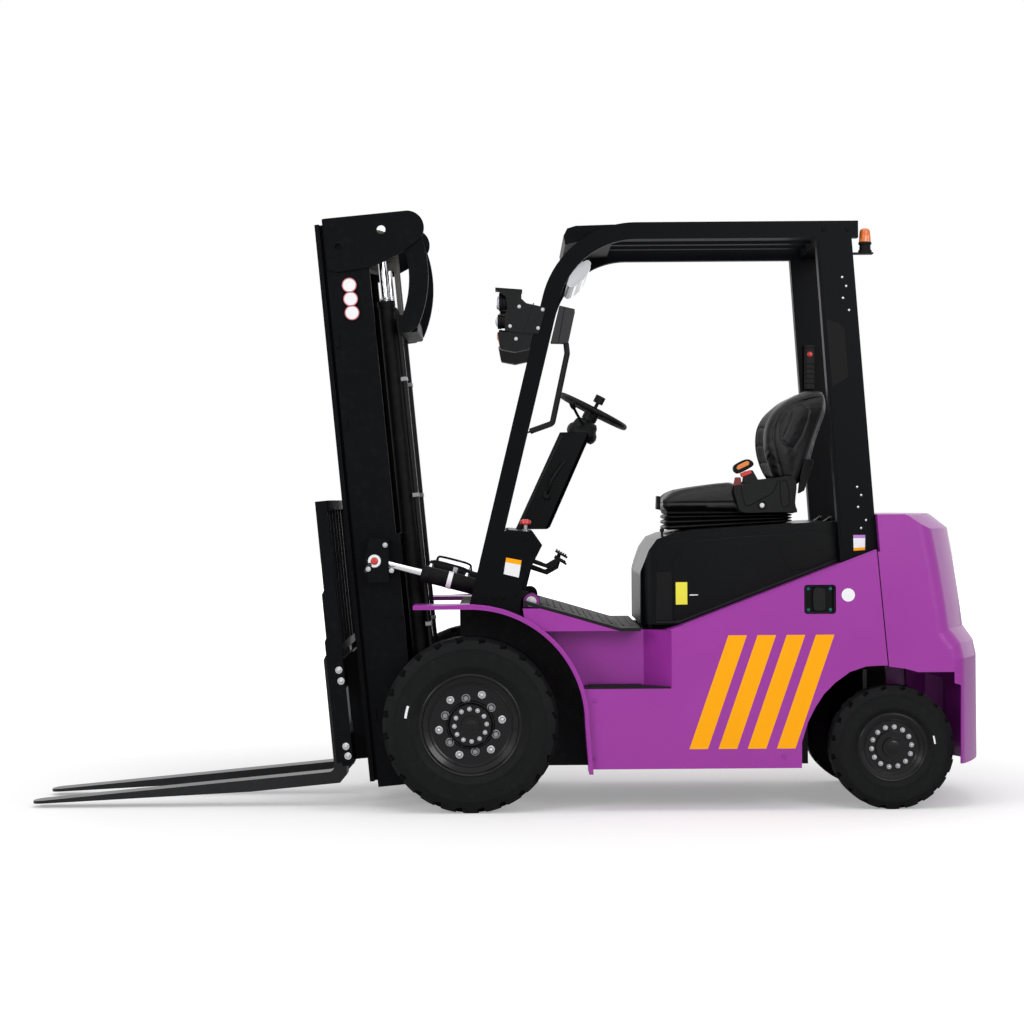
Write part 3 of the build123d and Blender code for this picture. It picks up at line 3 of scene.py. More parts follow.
import bmesh
import bpy
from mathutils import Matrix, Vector


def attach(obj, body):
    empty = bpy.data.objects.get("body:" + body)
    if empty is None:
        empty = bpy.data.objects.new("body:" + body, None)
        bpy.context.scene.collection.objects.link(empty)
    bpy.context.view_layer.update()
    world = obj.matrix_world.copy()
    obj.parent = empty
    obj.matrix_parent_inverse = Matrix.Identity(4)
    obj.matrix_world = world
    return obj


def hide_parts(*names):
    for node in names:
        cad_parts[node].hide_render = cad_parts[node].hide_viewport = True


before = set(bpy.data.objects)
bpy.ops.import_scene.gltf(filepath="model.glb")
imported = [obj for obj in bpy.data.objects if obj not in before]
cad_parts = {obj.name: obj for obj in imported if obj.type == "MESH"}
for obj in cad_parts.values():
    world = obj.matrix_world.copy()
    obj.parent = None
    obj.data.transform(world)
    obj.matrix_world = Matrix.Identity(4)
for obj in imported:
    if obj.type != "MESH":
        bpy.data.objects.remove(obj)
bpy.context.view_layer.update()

# Frames, in millimetres: the truck's starts at the front axle and the floor, the others at the mast's pivot,
# the tilt cylinder's foot and the steering wheel's centre.
AXLE = -138.27165
MAST_PIVOT_X, MAST_PIVOT_Z, LEAN = -110, 300, radians(5.3)
CYLINDER_X, CYLINDER_Y, CYLINDER_Z, TILT = 233, 400, 793, radians(14.848)
HANDWHEEL_X, HANDWHEEL_Z, COLUMN_LEAN = 487, 1530, radians(27.7)

# Faces that pieces are laid on, as distances from the truck's middle
PANEL_FACE, HOOD_FACE, GUARD_FACE, SEAT_FACE, LAMP_FACE = 550, 430, 500, 236, 505


def truck(x, y, z):
    return Vector(((x + AXLE) / 1000, y / 1000, z / 1000))


def mast(x, y, z):
    c, s = cos(LEAN), sin(LEAN)
    return truck(MAST_PIVOT_X + x * c - z * s, y, MAST_PIVOT_Z + x * s + z * c)


def cylinder_frame(x, y, z):
    c, s = cos(TILT), sin(TILT)
    return truck(CYLINDER_X + x * c + z * s, y, CYLINDER_Z - x * s + z * c)


def wheel_frame(x, y, z):
    c, s = cos(COLUMN_LEAN), sin(COLUMN_LEAN)
    return truck(HANDWHEEL_X + x * c + z * s, y, HANDWHEEL_Z - x * s + z * c)


# Materials


def shade(r, g, b):
    """A screen colour as the linear colour the shader takes."""
    return tuple((v / 255 / 12.92) if v <= 10 else (((v / 255) + 0.055) / 1.055) ** 2.4 for v in (r, g, b))


def put(shader_node, values):
    """Sets inputs of a shader node by name."""
    for key, value in values.items():
        shader_node.inputs[key].default_value = value


def surface(name, colour, rough, metal=0.0, coat=0.0, vary=0.06, spread=0.06, bump=0.0, grain=400.0,
        patch=4.0, spec=0.5, dust=0.0):
    """Material with patchy colour, patchy roughness and a fine grain, from noise in object space."""
    mat = bpy.data.materials.new(name)
    mat.use_nodes = True
    tree = mat.node_tree
    node, link = tree.nodes, tree.links
    shader = node["Principled BSDF"]
    put(shader, {"Metallic": metal, "Coat Weight": coat, "Coat Roughness": 0.06,
        "Specular IOR Level": spec})
    place = node.new("ShaderNodeTexCoord")
    patches = node.new("ShaderNodeTexNoise")
    put(patches, {"Scale": patch, "Detail": 6})
    link.new(place.outputs["Object"], patches.inputs["Vector"])
    tone = node.new("ShaderNodeValToRGB")
    dark = tuple(c * (1 - vary) for c in colour)
    light = tuple(min(1, c * (1 + vary) + dust * 0.02) for c in colour)
    tone.color_ramp.elements[0].position = 0.3
    tone.color_ramp.elements[0].color = (*dark, 1)
    tone.color_ramp.elements[1].position = 0.72
    tone.color_ramp.elements[1].color = (*light, 1)
    link.new(patches.outputs["Fac"], tone.inputs["Fac"])
    last = tone.outputs["Color"]
    if dust:
        fine = node.new("ShaderNodeTexNoise")
        put(fine, {"Scale": patch * 9, "Detail": 8})
        link.new(place.outputs["Object"], fine.inputs["Vector"])
        gate = node.new("ShaderNodeMapRange")
        put(gate, {"From Min": 0.5, "From Max": 0.8, "To Max": dust})
        link.new(fine.outputs["Fac"], gate.inputs["Value"])
        mix = node.new("ShaderNodeMix")
        mix.data_type = "RGBA"
        mix.inputs["B"].default_value = (0.32, 0.3, 0.28, 1)
        link.new(gate.outputs["Result"], mix.inputs["Factor"])
        link.new(last, mix.inputs["A"])
        last = mix.outputs["Result"]
    link.new(last, shader.inputs["Base Color"])
    span = node.new("ShaderNodeMapRange")
    put(span, {"To Min": max(0.02, rough - spread), "To Max": min(1, rough + spread)})
    link.new(patches.outputs["Fac"], span.inputs["Value"])
    link.new(span.outputs["Result"], shader.inputs["Roughness"])
    if bump:
        fine = node.new("ShaderNodeTexNoise")
        put(fine, {"Scale": grain, "Detail": 3})
        link.new(place.outputs["Object"], fine.inputs["Vector"])
        lift = node.new("ShaderNodeBump")
        put(lift, {"Strength": bump, "Distance": 0.002})
        link.new(fine.outputs["Fac"], lift.inputs["Height"])
        link.new(lift.outputs["Normal"], shader.inputs["Normal"])
    return mat


PURPLE = surface("purple_paint", shade(152, 48, 154), 0.36, coat=0.25, vary=0.03, bump=0.05, grain=260,
    spec=0.3)
BLACK = surface("guard_black", shade(6, 7, 10), 0.4, vary=0.1, bump=0.1, grain=500, spec=0.07)
MAST = surface("mast_black", shade(6, 7, 10), 0.42, vary=0.12, bump=0.12, grain=420, dust=0.01, spec=0.07)
STEEL_BLACK = surface("fork_black", shade(16, 17, 20), 0.34, vary=0.15, bump=0.2, grain=300, dust=0.02,
    spec=0.3)
AXLE_BLACK = surface("axle_black", shade(9, 9, 11), 0.55, vary=0.2, bump=0.3, grain=200, dust=0.02,
    spec=0.1)
CAST = surface("cast_black", shade(12, 12, 14), 0.55, vary=0.15, bump=0.5, grain=160, dust=0.02, spec=0.12)
RUBBER = surface("tyre_rubber", shade(13, 14, 15), 0.6, vary=0.12, bump=0.25, grain=260, dust=0.012,
    spec=0.12)
RIM = surface("rim_black", shade(5, 5, 7), 0.2, vary=0.1, bump=0.05, grain=400, spec=0.22, coat=0.15)
CHROME = surface("chrome", (0.75, 0.75, 0.77), 0.12, metal=1.0, vary=0.04, spread=0.05)
ZINC = surface("zinc", (0.62, 0.62, 0.64), 0.3, metal=1.0, vary=0.12, bump=0.1, grain=300)
CHAIN = surface("chain_steel", (0.16, 0.155, 0.15), 0.38, metal=0.9, vary=0.2, bump=0.2, grain=400)
PLASTIC = surface("hood_plastic", shade(5, 6, 8), 0.26, vary=0.1, bump=0.15, grain=900, spec=0.12)
PLASTIC_SOFT = surface("trim_plastic", shade(9, 10, 12), 0.4, vary=0.1, bump=0.3, grain=1100, spec=0.18)
GREY = surface("grey_plastic", shade(36, 36, 39), 0.5, vary=0.08, bump=0.25, grain=700, spec=0.3)
MAT_RUBBER = surface("mat_rubber", shade(11, 11, 13), 0.55, vary=0.15, bump=0.35, grain=500, dust=0.02,
    spec=0.2)
VINYL = surface("seat_vinyl", shade(10, 10, 12), 0.32, vary=0.1, bump=0.4, grain=620, spec=0.3)
BELLOWS = surface("bellows_rubber", shade(8, 8, 10), 0.4, vary=0.12, bump=0.25, grain=400, spec=0.25)
ORANGE = surface("orange_film", shade(252, 170, 14), 0.42, vary=0.02, spec=0.1)
WHITE = surface("white_film", shade(236, 236, 238), 0.4, vary=0.03)
PINK = surface("pink_film", shade(206, 120, 130), 0.45, vary=0.03)
DARK_RED = surface("dark_red_plastic", shade(110, 16, 16), 0.4, vary=0.08)
GLASS = surface("screen_glass", shade(10, 12, 16), 0.1, coat=0.4, vary=0.1)
TEAL = surface("teal_screw", shade(30, 120, 116), 0.35, metal=0.6, vary=0.1)
ZINC_DARK = surface("zinc_dark", (0.3, 0.3, 0.31), 0.34, metal=1.0, vary=0.14, bump=0.1, grain=300)
# Near-black, almost matt colour: painted shadow for the seam strips on the side panels
SEAM_SHADOW = surface("seam_painted_shadow", shade(10, 6, 10), 0.8, vary=0.2, spec=0.05)
PLASTIC_DARK = surface("recess_plastic", shade(6, 6, 8), 0.55, vary=0.2, bump=0.2, grain=900, spec=0.15)
LILAC = surface("lilac_film", shade(176, 120, 200), 0.45, vary=0.03)
GLASS_BRIGHT = surface("mirror_glass", (0.78, 0.79, 0.8), 0.05, metal=1.0, vary=0.02, spread=0.02)
YELLOW = surface("yellow_film", shade(236, 228, 60), 0.45, vary=0.03)
RED = surface("red_plastic", shade(200, 36, 30), 0.35, coat=0.3, vary=0.05)
AMBER_STRAP = surface("amber_knob", shade(224, 128, 60), 0.45, vary=0.05)
AMBER = surface("amber_lens", shade(214, 104, 20), 0.18, coat=0.6, vary=0.08)
LENS = surface("lamp_lens", shade(214, 212, 224), 0.12, coat=0.8, vary=0.05)
MIRROR = surface("mirror_shell", shade(224, 226, 230), 0.25, coat=0.4, vary=0.03)

# Body that a piece rides on, and its material slot
COVER = ("chassis", "cover_plastic")
GUARD = ("chassis", "guard_black")
LAMP = ("chassis", "lamp_plastic")
CHASSIS_METAL = ("chassis", "rod_chrome")
PAINT = ("chassis", "body_paint")
HOOD = ("hood", "cover_plastic")
SEAT = ("hood", "seat_vinyl")
BEACON = ("chassis", "beacon_amber")
MAST_RAILS = ("mast_outer", "mast_black")
MAST_METAL = ("mast_outer", "rod_chrome")

NODE_MATERIAL = {PURPLE: ["side_panel_left", "side_panel_right", "front_fender_left", "front_fender_right",
    "counterweight"], BLACK: ["guard_rails", "guard_pillars", "guard_roof", "leg_covers"],
    MAST: ["outer_rails", "mast_yoke", "outer_ties", "inner_rails", "inner_crosshead", "fork_carriage",
    "load_backrest"], STEEL_BLACK: ["fork_left", "fork_right"], CAST: ["drive_axle", "steer_axle",
    "knuckle_left", "knuckle_right"], AXLE_BLACK: ["chassis_core", "battery", "lift_barrels",
    "tilt_barrel_left", "tilt_barrel_right"], RUBBER: ["front_tyre_left", "front_tyre_right",
    "rear_tyre_left", "rear_tyre_right"], RIM: ["front_rim_left", "front_rim_right", "rear_rim_left",
    "rear_rim_right"], CHROME: ["lift_rods", "tilt_rod_left", "tilt_rod_right"],
    CHAIN: ["chain_pulleys", "chain_bends", "chain_rear_legs", "chain_front_legs"],
    PLASTIC: ["hood", "front_cowl", "steering_column"], PLASTIC_SOFT: ["headlamps", "rear_grip",
    "steering_wheel", "step_pads", "grab_handle"], MAT_RUBBER: ["floor_mat", "pedals"], VINYL: ["seat"],
    BELLOWS: ["seat_bellows"], AMBER: ["beacon"], MIRROR: ["rear_mirror"],}
for material, names in NODE_MATERIAL.items():
    for name in names:
        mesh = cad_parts[name].data
        mesh.materials.clear()
        mesh.materials.append(material)

# Mesh helpers


def new_object(name, data):
    obj = bpy.data.objects.new(name, data)
    bpy.context.scene.collection.objects.link(obj)
    return obj


def finish_mesh(name, mesh, material, body, slot, bevel=0.0, angle=35, segments=2):
    """Makes the object, shades it, bevels it and lets it ride on its body."""
    mesh.materials.append(material)
    mesh.shade_smooth()
    mesh.set_sharp_from_angle(angle=radians(angle))
    obj = new_object(name, mesh)
    if bevel:
        mod = obj.modifiers.new("edges", "BEVEL")
        mod.width = bevel / 1000
        mod.segments = segments
        mod.limit_method = "ANGLE"
        mod.angle_limit = radians(30)
        mod.harden_normals = True
    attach(obj, body)
    return obj


def from_bmesh(name, bm, material, body, slot, **more):
    bmesh.ops.remove_doubles(bm, verts=bm.verts, dist=1e-6)
    bmesh.ops.recalc_face_normals(bm, faces=bm.faces)
    mesh = bpy.data.meshes.new(name)
    bm.to_mesh(mesh)
    bm.free()
    return finish_mesh(name, mesh, material, body, slot, **more)


def add_prism(bm, outline, y0, y1, place=truck):
    """Side view outline pulled from y0 to y1."""
    low = [bm.verts.new(place(x, y0, z)) for x, z in outline]
    high = [bm.verts.new(place(x, y1, z)) for x, z in outline]
    bm.faces.new(low)
    bm.faces.new(list(reversed(high)))
    count = len(outline)
    for i in range(count):
        j = (i + 1) % count
        bm.faces.new((low[i], high[i], high[j], low[j]))


def add_lathe(bm, centre, axis, profile, steps=32, start=0.0):
    """Turned form: profile of (radius, distance along the axis) in millimetres."""
    axis = Vector(axis).normalized()
    side = axis.orthogonal().normalized()
    other = axis.cross(side)
    rings = []
    for radius, along in profile:
        if radius == 0:
            rings.append([bm.verts.new(centre + axis * along / 1000)])
            continue
        ring = []
        for i in range(steps):
            a = start + 2 * pi * i / steps
            ring.append(bm.verts.new(centre + axis * along / 1000
                + (side * cos(a) + other * sin(a)) * radius / 1000))
        rings.append(ring)
    for a, b in zip(rings, rings[1:]):
        if len(a) == 1 and len(b) == 1:
            continue
        for i in range(steps):
            j = (i + 1) % steps
            if len(a) == 1:
                bm.faces.new((a[0], b[i], b[j]))
            elif len(b) == 1:
                bm.faces.new((a[i], b[0], a[j]))
            else:
                bm.faces.new((a[i], b[i], b[j], a[j]))


def add_bolt(bm, centre, axis, radius, height):
    """Hexagon head on a washer, with a rounded crown."""
    add_lathe(bm, centre, axis, [(0, 0), (radius * 1.35, 0), (radius * 1.35, height * 0.25),
        (radius, height * 0.25)], 20)
    add_lathe(bm, centre, axis, [(radius, height * 0.25), (radius, height * 0.85), (radius * 0.8, height),
        (0, height)], 6)


def turned(name, lathe, *ride, **more):
    """Piece of one turned form: lathe holds what add_lathe takes."""
    bm = bmesh.new()
    add_lathe(bm, *lathe)
    return from_bmesh(name, bm, *ride, **more)


def pulled(name, prism, *ride, **more):
    """Piece of one pulled form: prism holds what add_prism takes."""
    bm = bmesh.new()
    add_prism(bm, *prism)
    return from_bmesh(name, bm, *ride, **more)


def bolts(name, spots, face, radius, height, *ride):
    """Hexagon bolts at side view spots on the side face at y = face."""
    bm = bmesh.new()
    for x, z in spots:
        add_bolt(bm, truck(x, face, z), (0, copysign(1, face), 0), radius, height)
    return from_bmesh(name, bm, *ride, angle=30)


def both_sides(make):
    """Runs a maker for the left side (-1) and the right side (1)."""
    for hand, side in ((-1, "left"), (1, "right")):
        make(hand, side)


def tube(name, points, radius, material, body, slot, place=truck, resolution=8, cyclic=False):
    """Round bar or hose along a smooth line of millimetre points."""
    curve = bpy.data.curves.new(name, "CURVE")
    curve.dimensions = "3D"
    curve.bevel_depth = radius / 1000
    curve.bevel_resolution = 4
    curve.resolution_u = resolution
    curve.use_fill_caps = True
    line = curve.splines.new("NURBS")
    line.points.add(len(points) - 1)
    for point, where in zip(line.points, points):
        point.co = (*place(*where), 1)
    line.order_u = 3
    line.use_endpoint_u = not cyclic
    line.use_cyclic_u = cyclic
    curve.materials.append(material)
    obj = new_object(name, curve)
    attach(obj, body)
    return obj


def plate(name, outline, face, thick, material, body, slot, bevel=1.0, place=truck, sink=0.5):
    """Plate on the side face at y = face, standing out by thick, its outline given in the side view."""
    out = 1 if face > 0 else -1
    return pulled(name, (outline, face - out * sink, face + out * thick, place), material, body, slot,
        bevel=bevel)


def smooth(points, steps=5, closed=True):
    """Curve through side view points, as more points."""
    count = len(points)
    out = []
    for i in range(count if closed else count - 1):
        a, b, c, d = (points[(i + k) % count] if closed else points[min(max(i + k, 0), count - 1)]
            for k in (-1, 0, 1, 2))
        for s in range(steps):
            t = s / steps
            out.append(tuple(0.5 * (2 * q + (r - p) * t + (2 * p - 5 * q + 4 * r - s3) * t * t
                + (3 * q - p - 3 * r + s3) * t ** 3) for p, q, r, s3 in zip(a, b, c, d)))
    if not closed:
        out.append(points[-1])
    return out


def normals(points, closed):
    count = len(points)
    found = []
    for i in range(count):
        a = points[(i - 1) % count] if closed or i else points[0]
        b = points[(i + 1) % count] if closed or i < count - 1 else points[-1]
        dx, dz = b[0] - a[0], b[1] - a[1]
        size = hypot(dx, dz) or 1
        found.append((-dz / size, dx / size))
    return found


def offset(points, amount, closed=True):
    """Side view line moved to its left by amount."""
    return [(x + n * amount, z + m * amount) for (x, z), (n, m) in zip(points, normals(points, closed))]


def area(points):
    return sum(a[0] * b[1] - b[0] * a[1] for a, b in zip(points, points[1:] + points[:1])) / 2


def inset(points, amount):
    """Closed outline drawn in by amount."""
    return offset(points, amount if area(points) > 0 else -amount)


def band(name, line, width, face, thick, material, body, slot, place=truck, closed=False, bevel=0.6):
    """Raised strip along a side view line, on the side face at y = face."""
    left, right = offset(line, width / 2, closed), offset(line, -width / 2, closed)
    out = 1 if face > 0 else -1
    y0, y1 = face - out * 0.5, face + out * thick
    bm = bmesh.new()
    rows = [[bm.verts.new(place(x, y, z)) for x, z in side] for side, y in ((left, y0), (left, y1),
        (right, y1), (right, y0))]
    last = len(line) if closed else len(line) - 1
    for i in range(last):
        j = (i + 1) % len(line)
        for a, b in zip(rows, rows[1:] + rows[:1]):
            bm.faces.new((a[i], a[j], b[j], b[i]))
    if not closed:
        for i in (0, -1):
            bm.faces.new([row[i] for row in rows])
    return from_bmesh(name, bm, material, body, slot, bevel=bevel)


def join_rings(bm, rings):
    """Skin over rings of points that lie one above the other, closed at both ends."""
    bm.faces.new(rings[0])
    bm.faces.new(list(reversed(rings[-1])))
    for a, b in zip(rings, rings[1:]):
        for i in range(len(a)):
            bm.faces.new((a[i], a[(i + 1) % len(a)], b[(i + 1) % len(a)], b[i]))


def add_loft(bm, sections, place=truck):
    """Closed form through sections (y, outline) with equal numbers of points."""
    rings = [[bm.verts.new(place(x, y, z)) for x, z in outline] for y, outline in sections]
    bm.faces.new(rings[0])
    bm.faces.new(list(reversed(rings[-1])))
    for a, b in zip(rings, rings[1:]):
        for i in range(len(a)):
            j = (i + 1) % len(a)
            bm.faces.new((a[i], b[i], b[j], a[j]))


def near_line(x, z, line):
    """Distance from a side view point to a side view line."""
    best = 1e9
    for (ax, az), (bx, bz) in zip(line, line[1:]):
        dx, dz = bx - ax, bz - az
        t = min(max(((x - ax) * dx + (z - az) * dz) / (dx * dx + dz * dz), 0), 1)
        best = min(best, hypot(x - ax - t * dx, z - az - t * dz))
    return best


# Front wheels: studs, lug nuts, rim beads and sidewall lines. Rear wheels: one circle of bolts.
FRONT_AXLE_Z, REAR_AXLE_X, REAR_AXLE_Z = 332, 1595, 234
STUD_CIRCLE, NUT_CIRCLE, HUB_CIRCLE, REAR_CIRCLE, REAR_COUNT = 121, 102, 61, 76, 14
RIM_FACE, HUB_FACE, REAR_FACE = 527, 545, 488


def on_circle(x, face, z, radius, angle):
    """Point at an angle in degrees on a wheel's circle of bolts."""
    a = radians(angle)
    return truck(x + radius * cos(a), face, z + radius * sin(a))


def ring_profile(radius, face, half, high):
    """Half round bead of this radius on a disc face."""
    return [(radius - half, face), (radius - half * 0.6, face + high * 0.8), (radius, face + high),
        (radius + half * 0.6, face + high * 0.8), (radius + half, face)]


def add_domed_bolt(bm, centre, axis, radius, height):
    """Hexagon head with a washer and a domed end."""
    add_lathe(bm, centre, axis, [(0, -1), (radius * 1.5, -1), (radius * 1.5, 1.2), (radius * 1.35, 2.2),
        (radius, 2.2)], 20)
    add_lathe(bm, centre, axis, [(radius * 1.05, 2), (radius * 1.05, height * 0.6),
        (radius * 0.9, height * 0.72), (0, height * 0.72)], 6)
    add_lathe(bm, centre, axis, [(radius * 0.72, height * 0.7), (radius * 0.6, height * 0.9),
        (radius * 0.3, height), (0, height)], 16)


def add_ringed_nut(bm, centre, axis, radius, height):
    """Lug nut in a wide ring, with the stud's end in it."""
    add_lathe(bm, centre, axis, [(0, -1), (radius * 1.55, -1), (radius * 1.55, 3), (radius * 1.4, 4.5),
        (radius * 1.15, 4.5), (radius * 1.1, 3)], 24)
    add_lathe(bm, centre, axis, [(radius, 2.5), (radius, height * 0.75), (radius * 0.86, height * 0.85),
        (radius * 0.5, height * 0.85), (radius * 0.45, height), (0, height)], 6)


def wheel_details(hand, side):
    axis = (0, hand, 0)
    front, rear = f"front_wheel_{side}", f"rear_wheel_{side}"
    studs, nuts, caps = bmesh.new(), bmesh.new(), bmesh.new()
    for i in range(6):
        stud = on_circle(0, hand * RIM_FACE, FRONT_AXLE_Z, STUD_CIRCLE, 60 * i + 9)
        add_domed_bolt(studs, stud, axis, 10, 22)
        nut = on_circle(0, hand * RIM_FACE, FRONT_AXLE_Z, NUT_CIRCLE, 60 * i + 39.5)
        add_ringed_nut(nuts, nut, axis, 11, 17)
    for i in range(12):
        cap = on_circle(0, hand * HUB_FACE, FRONT_AXLE_Z, HUB_CIRCLE, 30 * i + 3.5)
        add_domed_bolt(caps, cap, axis, 6, 11)
    from_bmesh(f"front_studs_{side}", studs, ZINC, front, "rod_chrome", angle=30)
    from_bmesh(f"front_nuts_{side}", nuts, ZINC_DARK, front, "rod_chrome", angle=30)
    from_bmesh(f"front_hub_bolts_{side}", caps, ZINC, front, "rod_chrome", angle=30)
    beads = bmesh.new()
    centre = truck(0, 0, FRONT_AXLE_Z)
    for profile in (ring_profile(190, 562.5, 5, 3), ring_profile(158, 529, 4, 3),
            ring_profile(86, 536, 3, 3), [(0, 557), (20, 557), (22, 560), (14, 562), (0, 562)]):
        add_lathe(beads, centre, axis, profile, 72)
    from_bmesh(f"front_rim_beads_{side}", beads, RIM, front, "rim", angle=50)
    lines = bmesh.new()
    for radius in (214, 226, 286):
        add_lathe(lines, centre, axis, ring_profile(radius, 572.6 if radius > 220 else 568, 2.2, 1.8), 96)
    from_bmesh(f"front_sidewall_lines_{side}", lines, RUBBER, front, "tyre", angle=50)
    bolts = bmesh.new()
    hub = truck(REAR_AXLE_X, 0, REAR_AXLE_Z)
    for i in range(REAR_COUNT):
        bolt = on_circle(REAR_AXLE_X, hand * REAR_FACE, REAR_AXLE_Z, REAR_CIRCLE, 360 / REAR_COUNT * i + 5)
        add_domed_bolt(bolts, bolt, axis, 6.5, 14)
    from_bmesh(f"rear_bolts_{side}", bolts, ZINC, rear, "rod_chrome", angle=30)
    beads = bmesh.new()
    for profile in (ring_profile(126, 519.5, 4, 2.5), ring_profile(104, 491, 3, 2.5),
            [(0, 516), (24, 516), (26, 519), (16, 521), (0, 521)]):
        add_lathe(beads, hub, axis, profile, 72)
    from_bmesh(f"rear_rim_beads_{side}", beads, RIM, rear, "rim", angle=50)
    lines = bmesh.new()
    for radius in (154, 198):
        add_lathe(lines, hub, axis, ring_profile(radius, 529.6, 2, 1.6), 96)
    from_bmesh(f"rear_sidewall_lines_{side}", lines, RUBBER, rear, "tyre", angle=50)

    def paint_mark(name, centre, face, radius, start, end, width, body):
        line = [(centre[0] + radius * cos(radians(start + (end - start) * i / 6)),
            centre[1] + radius * sin(radians(start + (end - start) * i / 6))) for i in range(7)]
        band(name, line, width, hand * face, 0.5, WHITE, body, "tyre", bevel=0)

    paint_mark(f"front_paint_mark_{side}", (0, FRONT_AXLE_Z), 573, 246, 162, 173, 9, front)
    paint_mark(f"rear_paint_mark_{side}", (REAR_AXLE_X, REAR_AXLE_Z), 530, 158, 5, 16, 7, rear)


both_sides(wheel_details)

# Side panels: generic slanted stripes, charging socket, sill bolts and seam shadows
STRIPE_START, STRIPE_COUNT = 824, 4
STRIPE_FOOT, STRIPE_TOP, STRIPE_WIDE, STRIPE_PITCH, STRIPE_SLANT = 236, 664, 70, 110, 150
SOCKET_X, SOCKET_Z = 1321, 797
FENDER_RADIUS = 448


def side_details(hand, side):
    face = hand * PANEL_FACE
    bm = bmesh.new()
    for i in range(STRIPE_COUNT):
        x = STRIPE_START + STRIPE_PITCH * i
        add_prism(bm, [(x, STRIPE_FOOT), (x + STRIPE_WIDE, STRIPE_FOOT),
            (x + STRIPE_WIDE + STRIPE_SLANT, STRIPE_TOP), (x + STRIPE_SLANT, STRIPE_TOP)],
            face - hand * 0.3, face + hand * 0.6)
    from_bmesh(f"side_stripes_{side}", bm, ORANGE, *PAINT)
    box = [(SOCKET_X - 57, SOCKET_Z - 52), (SOCKET_X + 57, SOCKET_Z - 52), (SOCKET_X + 57, SOCKET_Z + 52),
        (SOCKET_X - 57, SOCKET_Z + 52)]
    plate(f"socket_plate_{side}", box, hand * 515, 8, PLASTIC, *COVER, bevel=3)
    band(f"socket_frame_{side}", inset(box, 3), 7, hand * 523, 18, PLASTIC_SOFT, *COVER, closed=True,
        bevel=1.5)
    lid = smooth([(SOCKET_X - 18, SOCKET_Z - 44), (SOCKET_X + 14, SOCKET_Z - 44),
        (SOCKET_X + 22, SOCKET_Z - 30), (SOCKET_X + 22, SOCKET_Z + 30), (SOCKET_X + 14, SOCKET_Z + 44),
        (SOCKET_X - 18, SOCKET_Z + 44), (SOCKET_X - 26, SOCKET_Z + 20), (SOCKET_X - 26, SOCKET_Z - 20)], 4)
    plate(f"socket_lid_{side}", lid, hand * 523, 16, PLASTIC_SOFT, *COVER, bevel=5)
    screws = [(SOCKET_X + dx, SOCKET_Z + dz) for dx in (-42, 42) for dz in (-40, 40)]
    bolts(f"socket_screws_{side}", screws, hand * 523, 4.5, 5, TEAL, *CHASSIS_METAL)
    bolts(f"sill_bolts_{side}", ((470, 205), (470, 420), (1180, 205)), face, 6, 5, PURPLE, *PAINT)
    band(f"panel_lip_{side}", [(803, 702), (1150, 834.9), (1533, 981.6)], 5, hand * (PANEL_FACE - 1), 3.2,
        PURPLE, *PAINT, bevel=1.4)
    # Near-black strip along the seam between side panel and counterweight: painted shadow of the gap between
    # them
    seam = [(1577 - 0.0909 * (z - 546), z) for z in (550, 700, 850, 978)]
    band(f"seam_shadow_{side}", seam, 2.4, hand * (PANEL_FACE - 0.6), 0.8, SEAM_SHADOW, *GUARD, bevel=0)
    edge = [(FENDER_RADIUS * cos(radians(a)) - 6, 337 + FENDER_RADIUS * sin(radians(a)))
        for a in range(88, -1, -8)]
    band(f"fender_roll_{side}", [(-208, 781), (-100, 781)] + edge + [(452, 200)], 9, hand * 574, 2.5,
        PURPLE, *PAINT, bevel=1)


both_sides(side_details)

# Hood: side skins, rear bands, front recesses, shoulders, seals, blank plates and one knob


def hood_details(hand, side):
    face = hand * HOOD_FACE
    skin = [(776, 722), (776, 905), (783, 931), (817, 996), (846, 1016), (1020, 1034), (1184, 1042),
        (1392, 1046), (1400, 1030), (1400, 938), (1100, 823), (806, 710), (790, 708)]
    plate(f"hood_skin_{side}", skin, face, 5, PLASTIC, *HOOD, bevel=4)
    latch = [(1190, 1036), (1380, 1040), (1392, 1000), (1386, 952), (1226, 904)]
    plate(f"hood_band_{side}", smooth(latch, 3), face + hand * 5, 3, PLASTIC, *HOOD, bevel=2.4)
    recess = [(712, 902), (764, 902), (770, 880), (770, 716), (708, 716), (708, 738)]
    plate(f"hood_recess_{side}", recess, face, 1.6, PLASTIC_DARK, *HOOD, bevel=1.2)
    shoulder = [(712, 910), (756, 910), (770, 932), (808, 1002), (828, 1017), (790, 1020), (740, 1008),
        (718, 960)]
    plate(f"hood_shoulder_{side}", smooth(shoulder, 3), face, 3, PLASTIC, *HOOD, bevel=2.6)
    bead = [(708, 709.5), (762, 709.5), (800, 711.5), (1100, 826.3), (1400, 941.2)]
    band(f"hood_seal_{side}", bead, 9, face, 7, MAT_RUBBER, *HOOD, bevel=2)
    plate(f"hood_plate_{side}", [(784, 777), (828, 777), (828, 862), (784, 862)], face + hand * 5, 0.8,
        YELLOW, *HOOD, bevel=0)
    plate(f"hood_mark_{side}", [(837, 810.5), (869, 811.5), (869, 815), (837, 815)], face + hand * 5, 0.8,
        WHITE, *HOOD, bevel=0)


both_sides(hood_details)
turned("hood_knob", (truck(738, -350, 1030), (0, 0, 1), [(0, 0), (5, 0), (4.5, 22), (8, 24), (9, 32),
    (6, 37), (0, 37)], 20), PLASTIC_SOFT, *HOOD)

